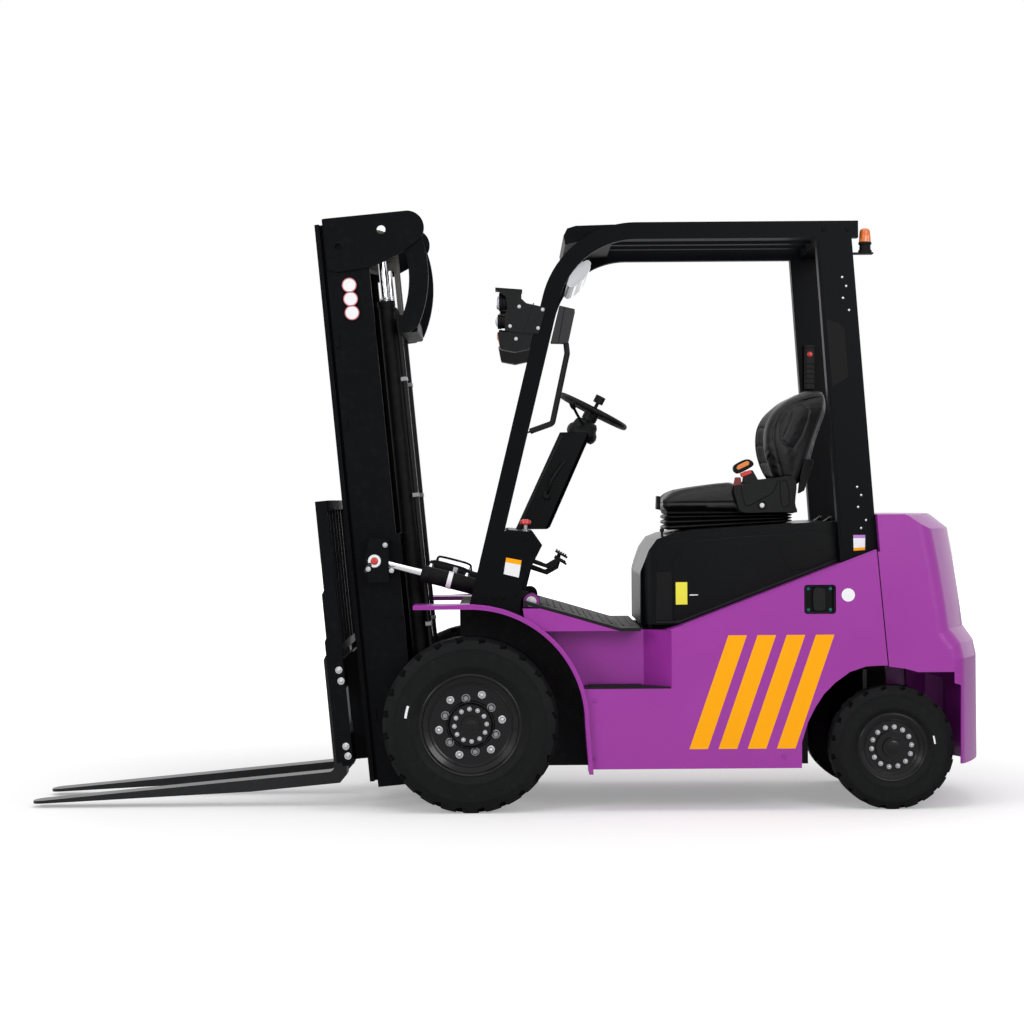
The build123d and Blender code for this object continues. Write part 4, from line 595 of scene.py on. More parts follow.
# Seat: side outlines from the photograph
CUSHION = smooth([(752, 1128), (741, 1146), (741, 1176), (758, 1196), (800, 1212), (866, 1224), (958, 1236),
    (1030, 1242), (1052, 1222), (1060, 1180), (1062, 1140), (1052, 1127), (900, 1124), (800, 1124)], 4)
BACK = smooth([(1196, 1240), (1172, 1289), (1154, 1348), (1148, 1406), (1154, 1464), (1180, 1513),
    (1222, 1553), (1262, 1576), (1336, 1604), (1380, 1609), (1395, 1596), (1393, 1545), (1356, 1424),
    (1328, 1330), (1298, 1250), (1276, 1218), (1230, 1222)], 4)
FRONT_LINE = [(1196, 1240), (1172, 1289), (1154, 1348), (1148, 1406), (1154, 1464), (1180, 1513),
    (1222, 1553), (1262, 1576)]
PIPING = [(1216, 1262), (1192, 1348), (1180, 1406), (1186, 1464), (1208, 1506), (1244, 1536), (1330, 1572),
    (1386, 1580)]
POCKET = [(1208, 1444), (1212, 1405), (1233, 1382), (1258, 1374), (1290, 1424), (1311, 1482), (1319, 1521),
    (1300, 1541), (1268, 1537), (1234, 1514), (1214, 1483), (1208, 1444)]
POCKET_RIB = [(1257, 1514), (1249, 1483), (1233, 1444), (1217, 1413)]
PAD_HALF = 242


def pad_mesh(name, outline, drop=None):
    """Closed pillow form with round ends, from a side outline."""
    sections = []
    for share, amount in ((-1, 30), (-0.985, 18), (-0.95, 9), (-0.88, 3), (-0.78, 0), (-0.6, 0), (-0.3, 0),
            (0, 0), (0.3, 0), (0.6, 0), (0.78, 0), (0.88, 3), (0.95, 9), (0.985, 18), (1, 30)):
        y = share * (PAD_HALF - 6)
        shape = inset(outline, amount + 7)
        if drop:
            shape = [(x, z - drop(abs(y), z)) for x, z in shape]
        sections.append((y, shape))
    bm = bmesh.new()
    add_loft(bm, sections)
    bmesh.ops.recalc_face_normals(bm, faces=bm.faces)
    bmesh.ops.triangulate(bm, faces=[f for f in bm.faces if len(f.verts) > 4])
    mesh = bpy.data.meshes.new(name)
    bm.to_mesh(mesh)
    bm.free()
    return mesh


def baked(obj):
    """Object's mesh with its modifiers applied."""
    graph = bpy.context.evaluated_depsgraph_get()
    mesh = bpy.data.meshes.new_from_object(obj.evaluated_get(graph))
    obj.modifiers.clear()
    obj.data = mesh
    return mesh


def swell(obj, voxel, pressure, cap, fill_frames=20):
    """Remeshes a pad, lets it swell as pressed cloth and holds each point within cap millimetres."""
    remesh = obj.modifiers.new("remesh", "REMESH")
    remesh.mode = "VOXEL"
    remesh.voxel_size = voxel / 1000
    mesh = baked(obj)
    rest = [v.co.copy() for v in mesh.vertices]
    cloth = obj.modifiers.new("cloth", "CLOTH")
    cloth.settings.quality = 4
    cloth.settings.mass = 0.3
    cloth.settings.use_pressure = True
    cloth.settings.uniform_pressure_force = pressure
    cloth.settings.effector_weights.gravity = 0
    scene = bpy.context.scene
    cloth.point_cache.frame_start = 1
    cloth.point_cache.frame_end = fill_frames
    for frame_number in range(1, fill_frames + 1):
        scene.frame_set(frame_number)
    moved = baked(obj)
    for vertex, home in zip(moved.vertices, rest):
        step = vertex.co - home
        if step.length > cap / 1000:
            vertex.co = home + step.normalized() * cap / 1000
    scene.frame_set(1)
    refine = obj.modifiers.new("refine", "SUBSURF")
    refine.levels = 1
    refine.render_levels = 1
    return baked(obj)


def sew(obj, rule):
    """Moves each point by rule(x, y, z), all in millimetres of the truck's frame."""
    for vertex in obj.data.vertices:
        x, y, z = vertex.co.x * 1000 - AXLE, vertex.co.y * 1000, vertex.co.z * 1000
        dx, dy, dz = rule(x, y, z)
        vertex.co = truck(x + dx, y + dy, z + dz)


def groove(distance, depth, wide):
    """Depth of a soft sewn line at a distance from it."""
    return depth * exp(-(distance / wide) ** 2)


CUSHION_HALF, CUSHION_SEAMS, CUSHION_PIPING = 168, (812, 874, 936, 998), 1163
BACK_HALF, BACK_SEAMS = 166, (1322, 1392, 1462)


def cushion_rule(x, y, z):
    """Hollow top with two long and four cross seams, and a piping line round the side."""
    top = min(max((z - 1165) / 30, 0), 1)
    far = min(abs(y) / CUSHION_HALF, 1)
    dz = -16 * (1 - far * far) * top
    dz -= groove(abs(y) - CUSHION_HALF, 7, 5) * top
    if abs(y) < CUSHION_HALF:
        for seam in CUSHION_SEAMS:
            dz -= groove(x - seam, 5, 4.5) * top
    pull = groove(z - CUSHION_PIPING, 3.5, 4) if top < 0.5 else 0
    dy = -copysign(pull, y) if abs(y) > 215 else 0
    dx = pull if x < 760 else 0
    return dx, dy, max(dz, 1121 - z)


def back_front(z):
    """Front edge of the back's side outline at height z."""
    for (ax, az), (bx, bz) in zip(FRONT_LINE, FRONT_LINE[1:]):
        if z <= bz:
            return ax + (bx - ax) * (z - az) / (bz - az)
    return FRONT_LINE[-1][0]


def back_rule(x, y, z):
    """Hollow front between two bolsters with cross seams, and a pocket and piping on each side."""
    ahead = min(max(1 - (x - back_front(z) - 12) / 70, 0), 1)
    far = min(abs(y) / 165, 1)
    level = sin(pi * min(max((z - 1225) / 365, 0), 1)) ** 0.7
    dx = 56 * (1 - far ** 2.2) * ahead * level
    if abs(y) < BACK_HALF:
        for seam in BACK_SEAMS:
            dx += groove(z - seam, 6, 5) * ahead
    dx += groove(abs(y) - BACK_HALF, 7, 5) * ahead
    dy = 0.0
    if abs(y) > 196:
        deep = groove(near_line(x, z, PIPING), 7, 5) + groove(near_line(x, z, POCKET), 6, 4.5)
        deep -= groove(near_line(x, z, POCKET_RIB), 4, 4)
        dy = -copysign(deep, y)
    return dx, dy, 0.0


def back_drop(y, z):
    """How far the back's top falls towards its round shoulders."""
    if y <= 140:
        return 0
    share = min(max((z - 1330) / 270, 0), 1)
    return share * (104 - sqrt(max(104 ** 2 - (y - 140) ** 2, 0)))


def soft_piece(name, mesh, voxel, pressure, cap, rule, node):
    """Pad that swells as cloth, takes its seams and stands for a CAD solid."""
    obj = new_object(name, mesh)
    swell(obj, voxel, pressure, cap)
    sew(obj, rule)
    obj.data.materials.clear()
    obj.data.materials.append(VINYL)
    obj.data.shade_smooth()
    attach(obj, "hood")
    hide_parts(node)
    return obj


soft_piece("seat_cushion", pad_mesh("seat_cushion", CUSHION), 7, 4, 9, cushion_rule, "seat")
soft_piece("seat_back", pad_mesh("seat_back", BACK, back_drop), 7, 4, 9, back_rule, "seat")


def seat_trim(hand, side):
    face = hand * SEAT_FACE
    shell = smooth([(1024, 1222), (1068, 1236), (1115, 1252), (1185, 1258), (1243, 1266), (1268, 1240),
        (1262, 1160), (1270, 1126), (1240, 1123), (1150, 1123), (1056, 1124), (1036, 1160)], 3)
    plate(f"seat_shell_{side}", shell, face, 13, PLASTIC_SOFT, *SEAT, bevel=6, sink=22)
    slot = smooth([(1204, 1236), (1212, 1248), (1230, 1242), (1241, 1172), (1234, 1150), (1209, 1154)], 3)
    band(f"seat_shell_slot_{side}", slot, 5, face + hand * 13, 1.6, PLASTIC, *SEAT, closed=True, bevel=0.7)
    band(f"seat_shell_line_{side}", smooth([(1052, 1228), (1060, 1180), (1076, 1150), (1130, 1178),
        (1172, 1200), (1196, 1250)], 4, False), 5, face + hand * 12, 2.4, PLASTIC, *SEAT, bevel=1)
    bracket = [(1276, 1196), (1300, 1208), (1336, 1316), (1334, 1330), (1300, 1330), (1284, 1262)]
    plate(f"seat_bracket_{side}", bracket, hand * 214, 12, PLASTIC_SOFT, *SEAT, bevel=4, sink=20)
    turned(f"seat_knob_base_{side}", (truck(1133, hand * 249, 1152), (0, hand, 0),
        [(0, -2), (20, -2), (20, 0), (0, 0.2)], 28), PLASTIC_DARK, *SEAT)
    turned(f"seat_knob_{side}", (truck(1133, hand * 249, 1152), (0, hand, 0),
        [(0, 0), (9, 0), (9.5, 2), (7, 4.5), (0, 5)], 24), WHITE, *SEAT)


both_sides(seat_trim)
pulled("seat_slide_handle", ([(728, 1140), (742, 1137), (744, 1190), (730, 1192)], -170, -70), PLASTIC_DARK,
    *SEAT, bevel=3)

pulled("seat_pan", ([(768, 1119.8), (1262, 1119.8), (1258, 1134), (1050, 1130), (764, 1132)], -200, 200),
    PLASTIC_DARK, *SEAT, bevel=4)

# Seat belt buckle on its stalk, left of the cushion
BUCKLE_Y = -226
pulled("buckle_stalk", ([(1058, 1246), (1064, 1284), (1098, 1290), (1116, 1258), (1134, 1222), (1122, 1190),
    (1092, 1200)], BUCKLE_Y - 14, BUCKLE_Y + 10), PLASTIC_SOFT, *SEAT, bevel=4)
pulled("buckle_frame", (smooth([(1022, 1292), (1028, 1310), (1070, 1331), (1094, 1326), (1100, 1306),
    (1046, 1277), (1030, 1280)], 3), BUCKLE_Y - 20, BUCKLE_Y + 16), PLASTIC, *SEAT, bevel=4)
pulled("buckle_handle", ([(1033, 1297), (1040, 1309), (1076, 1326), (1086, 1321), (1084, 1309),
    (1042, 1289)], BUCKLE_Y - 23, BUCKLE_Y + 19), AMBER_STRAP, *SEAT, bevel=4)
pulled("buckle_button", ([(1056, 1261), (1049, 1277), (1090, 1291), (1096, 1277)], BUCKLE_Y - 18,
    BUCKLE_Y + 14), RED, *SEAT, bevel=3)
pulled("buckle_clip", ([(1022, 1226), (1030, 1262), (1052, 1262), (1056, 1232)], BUCKLE_Y - 10,
    BUCKLE_Y + 8), DARK_RED, *SEAT, bevel=3)

# Bellows under the cushion: a rubber skirt with three folds, standing on the hood's crown
BELLOWS_TOP, BELLOWS_FOLDS, FOLD_STEPS, FOLD_DEPTH = 1119.4, 3, 8, 16


def crown(x):
    """Height of the hood's top at x."""
    return 1061 + (1081 - 1061) * (x - 850) / (1184 - 850)


def bellows_ring(t, drawn):
    """Ring of points at share t of the bellows' height, drawn in by an amount."""
    ring = []
    x0, x1, half, corner = 758 + drawn, 1260 - drawn, 188 - drawn, 46
    for cx, cy, start in ((x1 - corner, half - corner, 0), (x0 + corner, half - corner, 90),
            (x0 + corner, -half + corner, 180), (x1 - corner, -half + corner, 270)):
        for i in range(9):
            a = radians(start + 90 * i / 8)
            x, y = cx + corner * cos(a), cy + corner * sin(a)
            low = crown(x) + 1.2
            ring.append(truck(x, y, low + (BELLOWS_TOP - low) * t))
    return ring


bm = bmesh.new()
rings = []
for i in range(FOLD_STEPS * BELLOWS_FOLDS + 1):
    wave = 1 - abs(sin(pi * i / FOLD_STEPS)) ** 0.6
    rings.append([bm.verts.new(p) for p in bellows_ring(i / (FOLD_STEPS * BELLOWS_FOLDS),
        FOLD_DEPTH * wave)])
join_rings(bm, rings)
bellows = from_bmesh("bellows_folds", bm, BELLOWS, *HOOD, angle=60)
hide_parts("seat_bellows")

# Mast: blank round signs, tilt pins, side bolts, pipes, rail stops and the tops of the lift rods
SIGN_SPOTS = ((-456, 2009), (-451, 1956), (-446, 1903))


def mast_details(hand, side):
    for i, (x, z) in enumerate(SIGN_SPOTS):
        for ring, material, depth in (((0, 24), WHITE, 0.9), ((24, 28), PINK, 1.2)):
            bm = bmesh.new()
            inner, outer = ring
            start = [(inner, -0.4), (inner, depth)] if inner else [(0, depth)]
            add_lathe(bm, truck(x, hand * 367, z), (0, hand, 0), start + [(outer, depth), (outer, -0.4)],
                40)
            from_bmesh(f"sign_{'rim' if inner else 'disc'}_{i + 1}_{side}", bm, material, *MAST_RAILS)
    bm = bmesh.new()
    pin = truck(-363, hand * 446, 951)
    add_lathe(bm, pin, (0, hand, 0), [(13, -0.5), (13, 3), (17, 4), (23, 3.4), (25, 0), (25, -0.5)], 36)
    from_bmesh(f"tilt_pin_ring_{side}", bm, WHITE, *MAST_METAL)
    turned(f"tilt_pin_cap_{side}", (pin, (0, hand, 0), [(0, 4), (12.6, 4), (12.6, 6.5), (10, 8), (0, 8)],
        28), RED, *MAST_METAL)
    plate(f"tilt_pin_keeper_{side}", smooth([(-372, 935), (-391, 908), (-402, 914), (-384, 946)], 2),
        hand * 446, 5, GREY, *MAST_RAILS, bevel=1.5)
    bm = bmesh.new()
    add_bolt(bm, truck(-386, hand * 451, 921), (0, hand, 0), 7, 7)
    for x, z in ((-298, 915), (-322, 1012)):
        add_bolt(bm, truck(x, hand * 446, z), (0, hand, 0), 7, 7)
    from_bmesh(f"tilt_plate_bolts_{side}", bm, ZINC, *MAST_METAL, angle=30)
    bm = bmesh.new()
    for x, z in ((-364, 275), (-360, 233), (-366, -15), (-362, -52)):
        add_domed_bolt(bm, mast(x, hand * 500, z), (0, hand, 0), 9, 8)
    from_bmesh(f"carriage_bolts_{side}", bm, ZINC, "carriage", "rod_chrome", angle=30)
    bm = bmesh.new()
    up = mast(0, 0, 1) - mast(0, 0, 0)
    add_bolt(bm, mast(-57, hand * 262, 1866), up, 15, 16)
    add_lathe(bm, mast(-57, hand * 262, 1668), up, [(17, 0), (24, 0), (25, 4), (20, 10), (17, 12)], 28)
    from_bmesh(f"lift_rod_nut_{side}", bm, ZINC, "mast_inner", "rod_chrome", angle=30)
    for i, (y, top) in enumerate(((296, 1640), (236, 1600))):
        tube(f"lift_pipe_{i + 1}_{side}", [(-14, hand * y, 60), (-14, hand * y, 500), (-14, hand * y, 1100),
            (-14, hand * y, top - 50), (-16, hand * y, top - 8), (-44, hand * 262, top)], 8, MAT_RUBBER,
            *MAST_RAILS, place=mast)
    bm = bmesh.new()
    for z in (400, 900, 1350):
        for y in (236, 296):
            add_prism(bm, [(-28, z), (-3, z), (-3, z + 16), (-28, z + 16)], hand * (y - 11),
                hand * (y + 11), mast)
    from_bmesh(f"pipe_clips_{side}", bm, ZINC_DARK, *MAST_RAILS, bevel=2)
    stop = bmesh.new()
    for z in (60, 1180, 1500):
        add_prism(stop, [(-262, z), (-246, z), (-246, z + 46), (-262, z + 46)], hand * 354.5, hand * 361,
            mast)
    from_bmesh(f"rail_stops_{side}", stop, MAST, *MAST_RAILS, bevel=2)


both_sides(mast_details)

# Chains: pins on the bends, and the anchors with their nuts
bm = bmesh.new()
for hand in (-1, 1):
    for i in range(-5, 6):
        a = radians(90 + 17 * i)
        centre = mast(-85 + 73.5 * cos(a), hand * 122, 1880 + 73.5 * sin(a))
        add_lathe(bm, centre, (0, hand, 0), [(0, -25.4), (4.2, -25.4), (4.2, 1.4), (0, 1.4)], 14)
from_bmesh("chain_bend_pins", bm, CHAIN, "mast_inner", "chain_steel")
bm = bmesh.new()
for hand in (-1, 1):
    up = mast(0, 0, 1) - mast(0, 0, 0)
    add_lathe(bm, mast(-158, hand * 110, 262), up, [(0, 0), (9, 0), (9, 60), (0, 60)], 20)
    add_bolt(bm, mast(-158, hand * 110, 288), -up, 15, 14)
from_bmesh("chain_anchor_nuts", bm, ZINC, "carriage", "rod_chrome", angle=30)

# Tilt cylinders: port fittings, pipe, sleeve and pin washers


def tilt_details(hand, side):
    body = f"tilt_barrel_{side}"
    y = hand * CYLINDER_Y
    axis = cylinder_frame(1, 0, 0) - cylinder_frame(0, 0, 0)
    turned(f"tilt_sleeve_{side}", (cylinder_frame(-322, y, 0), axis, [(32, -9), (33.4, -9), (33.4, 9),
        (32, 9)], 40), WHITE, body, "axle_black")
    turned(f"tilt_gland_{side}", (cylinder_frame(-430, y, 0), axis, [(15, -4), (25, -4), (30, 0), (33.5, 3),
        (33.5, 26), (32, 28)], 40), AXLE_BLACK, body, "axle_black")
    bm = bmesh.new()
    up = cylinder_frame(0, 0, 1) - cylinder_frame(0, 0, 0)
    for x in (-404, -262):
        add_lathe(bm, cylinder_frame(x, y, 28), up, [(0, 0), (10, 0), (10, 8), (7, 10), (7, 16), (0, 16)],
            6)
    from_bmesh(f"tilt_ports_{side}", bm, ZINC, body, "rod_chrome", angle=30)
    tube(f"tilt_pipe_{side}", [(-404, y, 44), (-404, y, 54), (-388, y, 58), (-300, y, 58), (-276, y, 56),
        (-262, y, 52), (-262, y, 42)], 4.5, AXLE_BLACK, body, "axle_black", place=cylinder_frame)
    turned(f"tilt_foot_washer_{side}", (truck(CYLINDER_X, hand * 453, CYLINDER_Z), (0, hand, 0),
        [(0, 0), (20, 0), (20, 3), (12, 3.4), (11, 5.5), (0, 6)], 32), ZINC, *CHASSIS_METAL)
    plate(f"tilt_foot_keeper_{side}", [(226, 770), (240, 770), (241, 745), (225, 745)], hand * 448, 4,
        ZINC_DARK, *CHASSIS_METAL, bevel=1.5)


both_sides(tilt_details)

# Lamps: lenses, bezels and bracket bolts. Blank plates and the stop button on the leg covers.


def lamp_details(hand, side):
    y = hand * 455
    for i, (z, radius, x) in enumerate(((1933, 34, 112), (1858, 26, 106))):
        turned(f"lamp_lens_{i + 1}_{side}", (truck(x, y, z), (1, 0, 0),
            [(0, -1.6), (0.35 * radius, -1.2), (0.62 * radius, 1.6), (radius - 5, 9.5), (radius - 4, 11.5),
            (radius - 6, 12)], 40), LENS, *LAMP)
        turned(f"lamp_bezel_{i + 1}_{side}", (truck(x, y, z), (1, 0, 0),
            [(radius - 5, 9), (radius - 4, 6.5), (radius + 1.5, 7.5), (radius + 2, 20), (radius, 22)], 40),
            PLASTIC_DARK, *LAMP)
    lens = [(110.4, 1812), (120.4, 1756), (126, 1754), (116, 1812)]
    pulled(f"signal_lens_{side}", (lens, hand * 424, hand * 486), AMBER, *LAMP, bevel=2)
    spots = ((284, 1900), (266, 1830), (195, 1912), (182, 1790), (160, 1838))
    bolts(f"lamp_bolts_{side}", spots, hand * (LAMP_FACE + 1), 5, 5, ZINC, *CHASSIS_METAL)
    band(f"lamp_fold_{side}", [(106, 1981), (206, 1973.5)], 5, hand * LAMP_FACE, 2, PLASTIC_SOFT, *LAMP,
        bevel=1)
    band(f"lamp_crease_{side}", [(250, 1925), (214, 1823)], 4, hand * (LAMP_FACE + 0.4), 2, PLASTIC_SOFT,
        *LAMP, bevel=1)
    plate(f"leg_plate_{side}", [(139, 962), (197, 951), (186, 886), (129, 900)], hand * GUARD_FACE, 0.8,
        WHITE, *GUARD, bevel=0)
    plate(f"leg_plate_top_{side}", [(139, 962), (197, 951), (194, 934), (136, 945)],
        hand * (GUARD_FACE + 0.8), 0.4, ORANGE, *GUARD, bevel=0)
    spots = ((210, 1030), (238, 985), (176, 820))
    bolts(f"leg_cover_bolts_{side}", spots, hand * GUARD_FACE, 5, 4, BLACK, *GUARD)


both_sides(lamp_details)
turned("stop_button_stem", (truck(213, -478, 1060), (0, 0, 1), [(0, 0), (13, 0), (13, 6), (8, 8), (8, 28),
    (0, 28)], 28), ZINC_DARK, *CHASSIS_METAL)
turned("stop_button", (truck(213, -478, 1086), (0, 0, 1), [(0, 0), (15, 0), (21, 4), (21.5, 10), (19, 16),
    (10, 20), (0, 21)], 32), RED, "chassis", "wheel_plastic")

# Display case and its screen, on the left leg
pulled("display_case", ([(347.5, 1916), (407, 1901.6), (379.6, 1770.4), (312.2, 1772.4)], -499, -451), GREY,
    *COVER, bevel=4)
pulled("display_screen", ([(402.6, 1893), (406.8, 1892), (381.8, 1779), (377.6, 1780)], -491, -459), GLASS,
    *COVER, bevel=1)
band("display_crease", [(368, 1910), (342, 1775)], 3, -499, 1.4, PLASTIC_SOFT, *COVER)
plate("handle_foot", [(222, 1432), (262, 1440), (322, 1462), (320, 1478), (300, 1474), (236, 1452)], -490,
    6, PLASTIC_SOFT, *COVER, bevel=2, sink=8)

# Steering column: collar, levers and edge trims
wheel_up = wheel_frame(0, 0, 1) - wheel_frame(0, 0, 0)
turned("column_collar", (wheel_frame(0, 0, 0), wheel_up, [(28.5, -43), (38, -44), (47, -56), (50, -72),
    (60, -84), (63, -98), (60, -112), (52, -122), (28.5, -122)], 40), PLASTIC_SOFT, *COVER, angle=50)
tube("direction_lever", [(-8, -30, -66), (-20, -70, -62), (-52, -112, -44), (-78, -140, -26)], 5.5,
    PLASTIC_SOFT, *COVER, place=wheel_frame)
turned("direction_lever_grip", (wheel_frame(-78, -140, -26), wheel_frame(-26, -28, 18) - wheel_frame(0, 0,
    0), [(0, -8), (9, -6), (11, 6), (10, 22), (5, 28), (0, 28)], 20), PLASTIC_DARK, *COVER)
for i, y in enumerate((-76, 76)):
    band(f"column_trim_{i + 1}", [(190, 1080), (362, 1434)], 8, y * 0.985, 2.4, PLASTIC_SOFT, *COVER,
        bevel=1)
    band(f"column_seam_{i + 1}", [(262, 1078), (424, 1436)], 3, y * 0.985, 1.6, PLASTIC_DARK, *COVER,
        bevel=0.6)
tube("tilt_lever", [(300, -76, 1196), (306, -96, 1210), (316, -112, 1250), (340, -112, 1290),
    (372, -110, 1330)], 5, PLASTIC_SOFT, *COVER)
turned("tilt_lever_hub", (truck(300, -74, 1196), (0, -1, 0), [(0, 0), (17, 0), (17, 10), (12, 14), (0, 14)],
    28), PLASTIC_DARK, *COVER)
turned("horn_pad", (wheel_frame(0, 0, 0), wheel_up, [(0, -1), (30, -1), (28, 5), (16, 9), (0, 10)], 40),
    PLASTIC_DARK, "handwheel", "wheel_plastic")

# Pedals: ribbed rubber pads
bm = bmesh.new()
for y, lift in ((-90, 30), (60, 0), (200, 0)):
    for i in range(5):
        t = i / 5
        x, z = 333.5 + 42 * t, 949 - 25 * t + lift
        add_prism(bm, [(x, z), (x + 4, z + 7), (x + 8.5, z + 4.4), (x + 5, z - 3)], y - 33, y + 33)
from_bmesh("pedal_ribs", bm, MAT_RUBBER, *COVER, bevel=0.8)

# Floor mat: raised bars
bm = bmesh.new()
for x0, z0, x1, z1 in ((290, 775.6, 372, 752), (386, 748, 486, 718), (498, 714.6, 562, 696.2),
        (576, 694, 640, 694)):
    slope = (z1 - z0) / (x1 - x0)
    count = int((x1 - x0) / 22)
    for i in range(count):
        x = x0 + (x1 - x0) * (i + 0.25) / count
        z = z0 + slope * (x - x0)
        add_prism(bm, [(x, z - 1), (x + 8, z + 8 * slope - 1), (x + 7, z + 7 * slope + 3),
            (x + 1, z + slope + 3)], -350, 350)
from_bmesh("mat_bars", bm, MAT_RUBBER, *COVER, bevel=0.8)

# Guard: pillar panels, bolts, blank plates, beacon and mirror


def guard_details(hand, side):
    face = hand * GUARD_FACE
    panel = [(1356, 1857), (1402, 1843), (1428, 1818), (1440, 1636), (1378, 1598)]
    plate(f"pillar_plate_{side}", smooth(panel, 1), face, 1.6, PLASTIC_DARK, *GUARD, bevel=1)
    bm = bmesh.new()
    for x, z in ((1419, 2015), (1434, 1981), (1422, 1936), (1444, 1890), (1470, 1220), (1485, 1189),
            (1473, 1144), (1503, 1094), (1484, 1064)):
        add_lathe(bm, truck(x, face, z), (0, hand, 0), [(0, -0.5), (4.4, -0.5), (4.2, 1), (2, 2.2),
            (0, 2.4)], 14)
    from_bmesh(f"pillar_rivets_{side}", bm, ZINC, *CHASSIS_METAL)
    plate(f"pillar_label_{side}", [(1455, 978), (1498, 981), (1499, 1038), (1454, 1038)], face, 0.8, WHITE,
        *GUARD, bevel=0)
    plate(f"pillar_label_top_{side}", [(1454, 1026), (1499, 1026), (1499, 1038), (1454, 1038)],
        face + hand * 0.8, 0.3, LILAC, *GUARD, bevel=0)
    plate(f"pillar_label_foot_{side}", [(1455, 978), (1498, 981), (1498, 991), (1455, 989)],
        face + hand * 0.8, 0.3, ORANGE, *GUARD, bevel=0)
    turned(f"socket_sign_{side}", (truck(1427, hand * PANEL_FACE, 813), (0, hand, 0),
        [(0, -0.4), (25, -0.4), (25, 0.9), (0, 0.9)], 40), WHITE, *PAINT)
    line = [(1321 + 0.0687 * (2165 - z) + 9, z) for z in (2150, 1800, 1500, 1200, 985)]
    band(f"pillar_fold_{side}", line, 4, face, 2, BLACK, *GUARD, bevel=1)
    bm = bmesh.new()
    for x in (420, 470, 1350, 1440):
        add_bolt(bm, truck(x, face, 2197), (0, hand, 0), 7, 6)
    for x, z in ((96, 812), (128, 812)):
        add_bolt(bm, truck(x, face, z), (0, hand, 0), 8, 6)
    from_bmesh(f"guard_bolts_{side}", bm, BLACK, *GUARD, angle=30)


both_sides(guard_details)
bm = bmesh.new()
BEACON_X, BEACON_Y, LENS_STEPS, LENS_RIB = 1510, -470, 48, 1.2
profile = [(22.4, 2149), (22.8, 2151), (19.8, 2190), (16.8, 2197), (9.4, 2201.4), (0, 2201.9)]
rings = []
for radius, z in profile[:-1]:
    ring = []
    for i in range(LENS_STEPS):
        turn, r = 2 * pi * i / LENS_STEPS, radius - (LENS_RIB if i % 2 else 0)
        ring.append(bm.verts.new(truck(BEACON_X + r * cos(turn), BEACON_Y + r * sin(turn), z)))
    rings.append(ring)
join_rings(bm, rings)
from_bmesh("beacon_lens", bm, AMBER, *BEACON)
turned("beacon_base", (truck(BEACON_X, BEACON_Y, 0), (0, 0, 1), [(0, 2106.5), (26, 2106.5), (26, 2118),
    (22, 2120), (21, 2138), (25, 2141), (25, 2148), (22.6, 2150)], 40), PLASTIC_DARK, *BEACON)
pulled("beacon_plate", ([(1461.5, 2103.2), (1539, 2103.2), (1539, 2108.8), (1461.5, 2108.8)], -496, -444),
    BLACK, *BEACON, bevel=1)
MIRROR_LEAN = radians(50)


def mirror_place(x, y, z):
    """Frame of the mirror, leaning forward about its middle."""
    c, s = cos(MIRROR_LEAN), sin(MIRROR_LEAN)
    return truck(428 + x * c - z * s, y, 2052 + x * s + z * c)


oval = smooth([(-62, 0), (-50, -13), (0, -24.5), (50, -13), (62, 0), (50, 13), (0, 24.5), (-50, 13)], 5)
for hand, side in ((-1, "left"), (1, "right")):
    plate(f"mirror_end_{side}", inset(oval, 5), hand * 300, 2, MIRROR, "chassis", "mirror_face", bevel=1,
        place=mirror_place)
pulled("mirror_glass", ([(-52, -17), (0, -27.5), (52, -17), (50, -14), (0, -24), (-50, -14)], -290, 290,
    mirror_place), GLASS_BRIGHT, "chassis", "mirror_face", bevel=1)

# Grip button and rings on the right pillar
turned("grip_button", (truck(1396, 407, 1772), (0, -1, 0), [(0, 0), (11, 0), (11, 4), (7, 6), (0, 6)], 24),
    RED, *COVER)
bm = bmesh.new()
for z in (1650, 1670, 1690, 1710, 1730, 1798):
    add_prism(bm, smooth([(1373, z), (1419, z), (1419, z + 5), (1373, z + 5)], 1), 407, 441)
from_bmesh("grip_rings", bm, PLASTIC_DARK, *COVER, bevel=1.5)

# Stage: a white floor that glows for the camera alone, from NEAR (metres, strength) out to FAR
floor_mesh = bpy.data.meshes.new("floor")
floor_mesh.from_pydata([(-40, -40, 0), (40, -40, 0), (40, 40, 0), (-40, 40, 0)], [], [(0, 1, 2, 3)])
floor_material = bpy.data.materials.new("floor_white")
floor_material.use_nodes = True
floor_tree = floor_material.node_tree
put(floor_tree.nodes["Principled BSDF"], {"Base Color": (0.72, 0.72, 0.72, 1), "Roughness": 0.95,
    "Specular IOR Level": 0.1})
NEAR, FAR = (1.6, 0.3), (6.0, 1.0)
node, link = floor_tree.nodes, floor_tree.links
both = node.new("ShaderNodeAddShader")
glow = node.new("ShaderNodeEmission")
floor_rays, floor_place = node.new("ShaderNodeLightPath"), node.new("ShaderNodeTexCoord")
reach = node.new("ShaderNodeVectorMath")
reach.operation = "LENGTH"
fade = node.new("ShaderNodeMapRange")
fade.inputs["From Min"].default_value, fade.inputs["To Min"].default_value = NEAR
fade.inputs["From Max"].default_value, fade.inputs["To Max"].default_value = FAR
camera_only = node.new("ShaderNodeMath")
camera_only.operation = "MULTIPLY"
link.new(floor_place.outputs["Object"], reach.inputs[0])
link.new(reach.outputs["Value"], fade.inputs["Value"])
link.new(fade.outputs["Result"], camera_only.inputs[0])
link.new(floor_rays.outputs["Is Camera Ray"], camera_only.inputs[1])
link.new(camera_only.outputs["Value"], glow.inputs["Strength"])
link.new(node["Principled BSDF"].outputs["BSDF"], both.inputs[0])
link.new(glow.outputs["Emission"], both.inputs[1])
link.new(both.outputs["Shader"], node["Material Output"].inputs["Surface"])
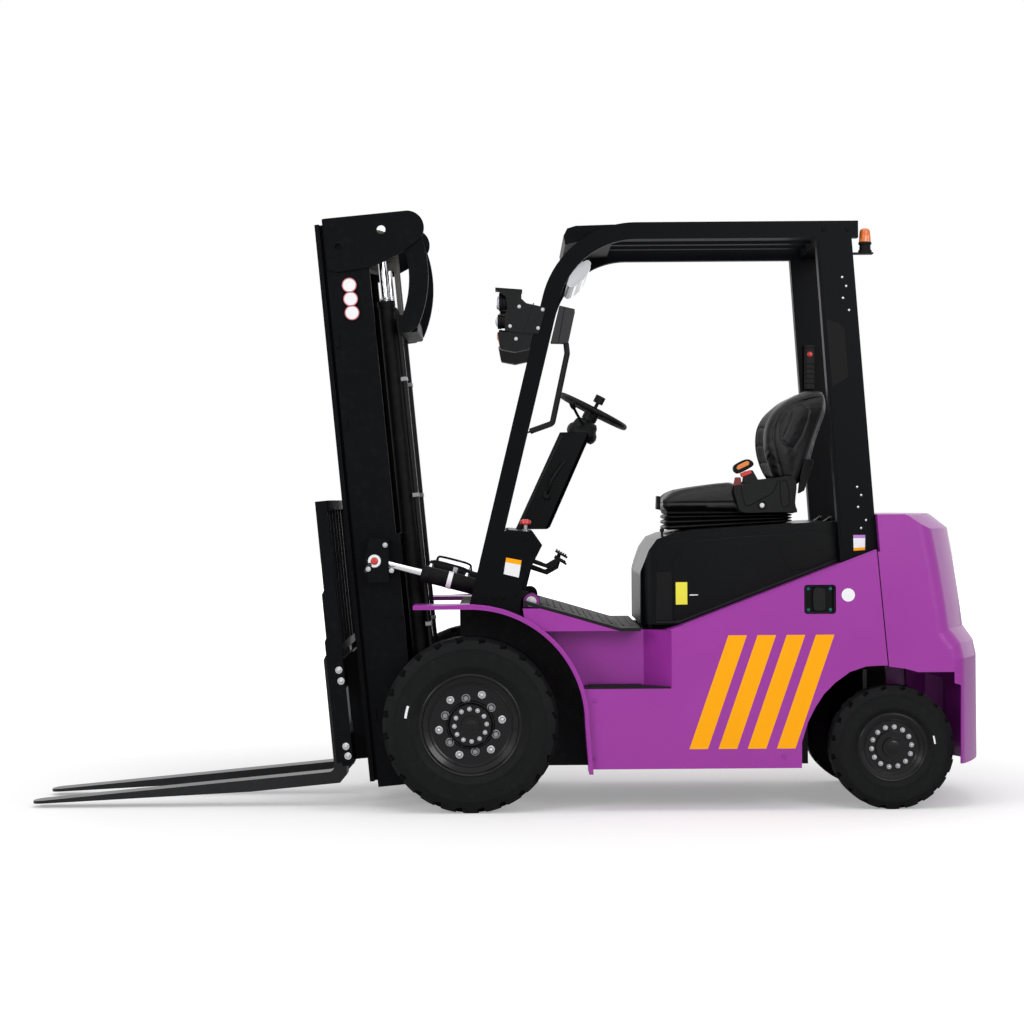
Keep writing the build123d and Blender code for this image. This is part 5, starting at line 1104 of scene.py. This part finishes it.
floor_mesh.materials.append(floor_material)
floor = new_object("floor", floor_mesh)

# Light: a white studio, full for the camera and for reflections, and three soft boxes
WORLD_LIGHT = 0.55
world = bpy.data.worlds.new("studio")
bpy.context.scene.world = world
world.use_nodes = True
node, link = world.node_tree.nodes, world.node_tree.links
node["Background"].inputs["Color"].default_value = (1, 1, 1, 1)
rays = node.new("ShaderNodeLightPath")
seen = node.new("ShaderNodeMath")
seen.operation = "MAXIMUM"
link.new(rays.outputs["Is Camera Ray"], seen.inputs[0])
link.new(rays.outputs["Is Glossy Ray"], seen.inputs[1])
strength = node.new("ShaderNodeMapRange")
put(strength, {"To Min": WORLD_LIGHT, "To Max": 1.0})
link.new(seen.outputs["Value"], strength.inputs["Value"])
link.new(strength.outputs["Result"], node["Background"].inputs["Strength"])


def area_light(name, where, target, size, power):
    """Square soft box of a size in metres and a power in watts, turned to a target."""
    light = bpy.data.lights.new(name, "AREA")
    light.shape = "RECTANGLE"
    light.size = size
    light.size_y = size
    light.energy = power
    obj = bpy.data.objects.new(name, light)
    obj.location = where
    obj.rotation_euler = (Vector(target) - Vector(where)).to_track_quat("-Z", "Y").to_euler()
    bpy.context.scene.collection.objects.link(obj)


area_light("top_softbox", (0.3, -1.5, 6.0), (0.2, 0, 0.8), 5.0, 120)
area_light("side_softbox", (3.5, -6.5, 3.0), (0.4, 0, 0.9), 2.6, 130)
area_light("front_softbox", (-4.5, -5.5, 3.0), (-0.2, 0, 0.9), 2.2, 110)

# Camera: the photograph's, with its focal length in the pixels of a square frame
FRAME_PIXELS, FOCAL_PIXELS, SHIFT_PIXELS, SENSOR = 1024, 2667, -12, 36
camera_data = bpy.data.cameras.new("camera")
camera_data.sensor_width = SENSOR
camera_data.lens = FOCAL_PIXELS / FRAME_PIXELS * SENSOR
camera_data.shift_y = SHIFT_PIXELS / FRAME_PIXELS
camera = bpy.data.objects.new("camera", camera_data)
camera.location = (0.0243, -10.6, 1.18)
camera.rotation_euler = (pi / 2, radians(0.42), 0)
bpy.context.scene.collection.objects.link(camera)
bpy.context.scene.camera = camera
bpy.context.scene.view_settings.view_transform = "Standard"
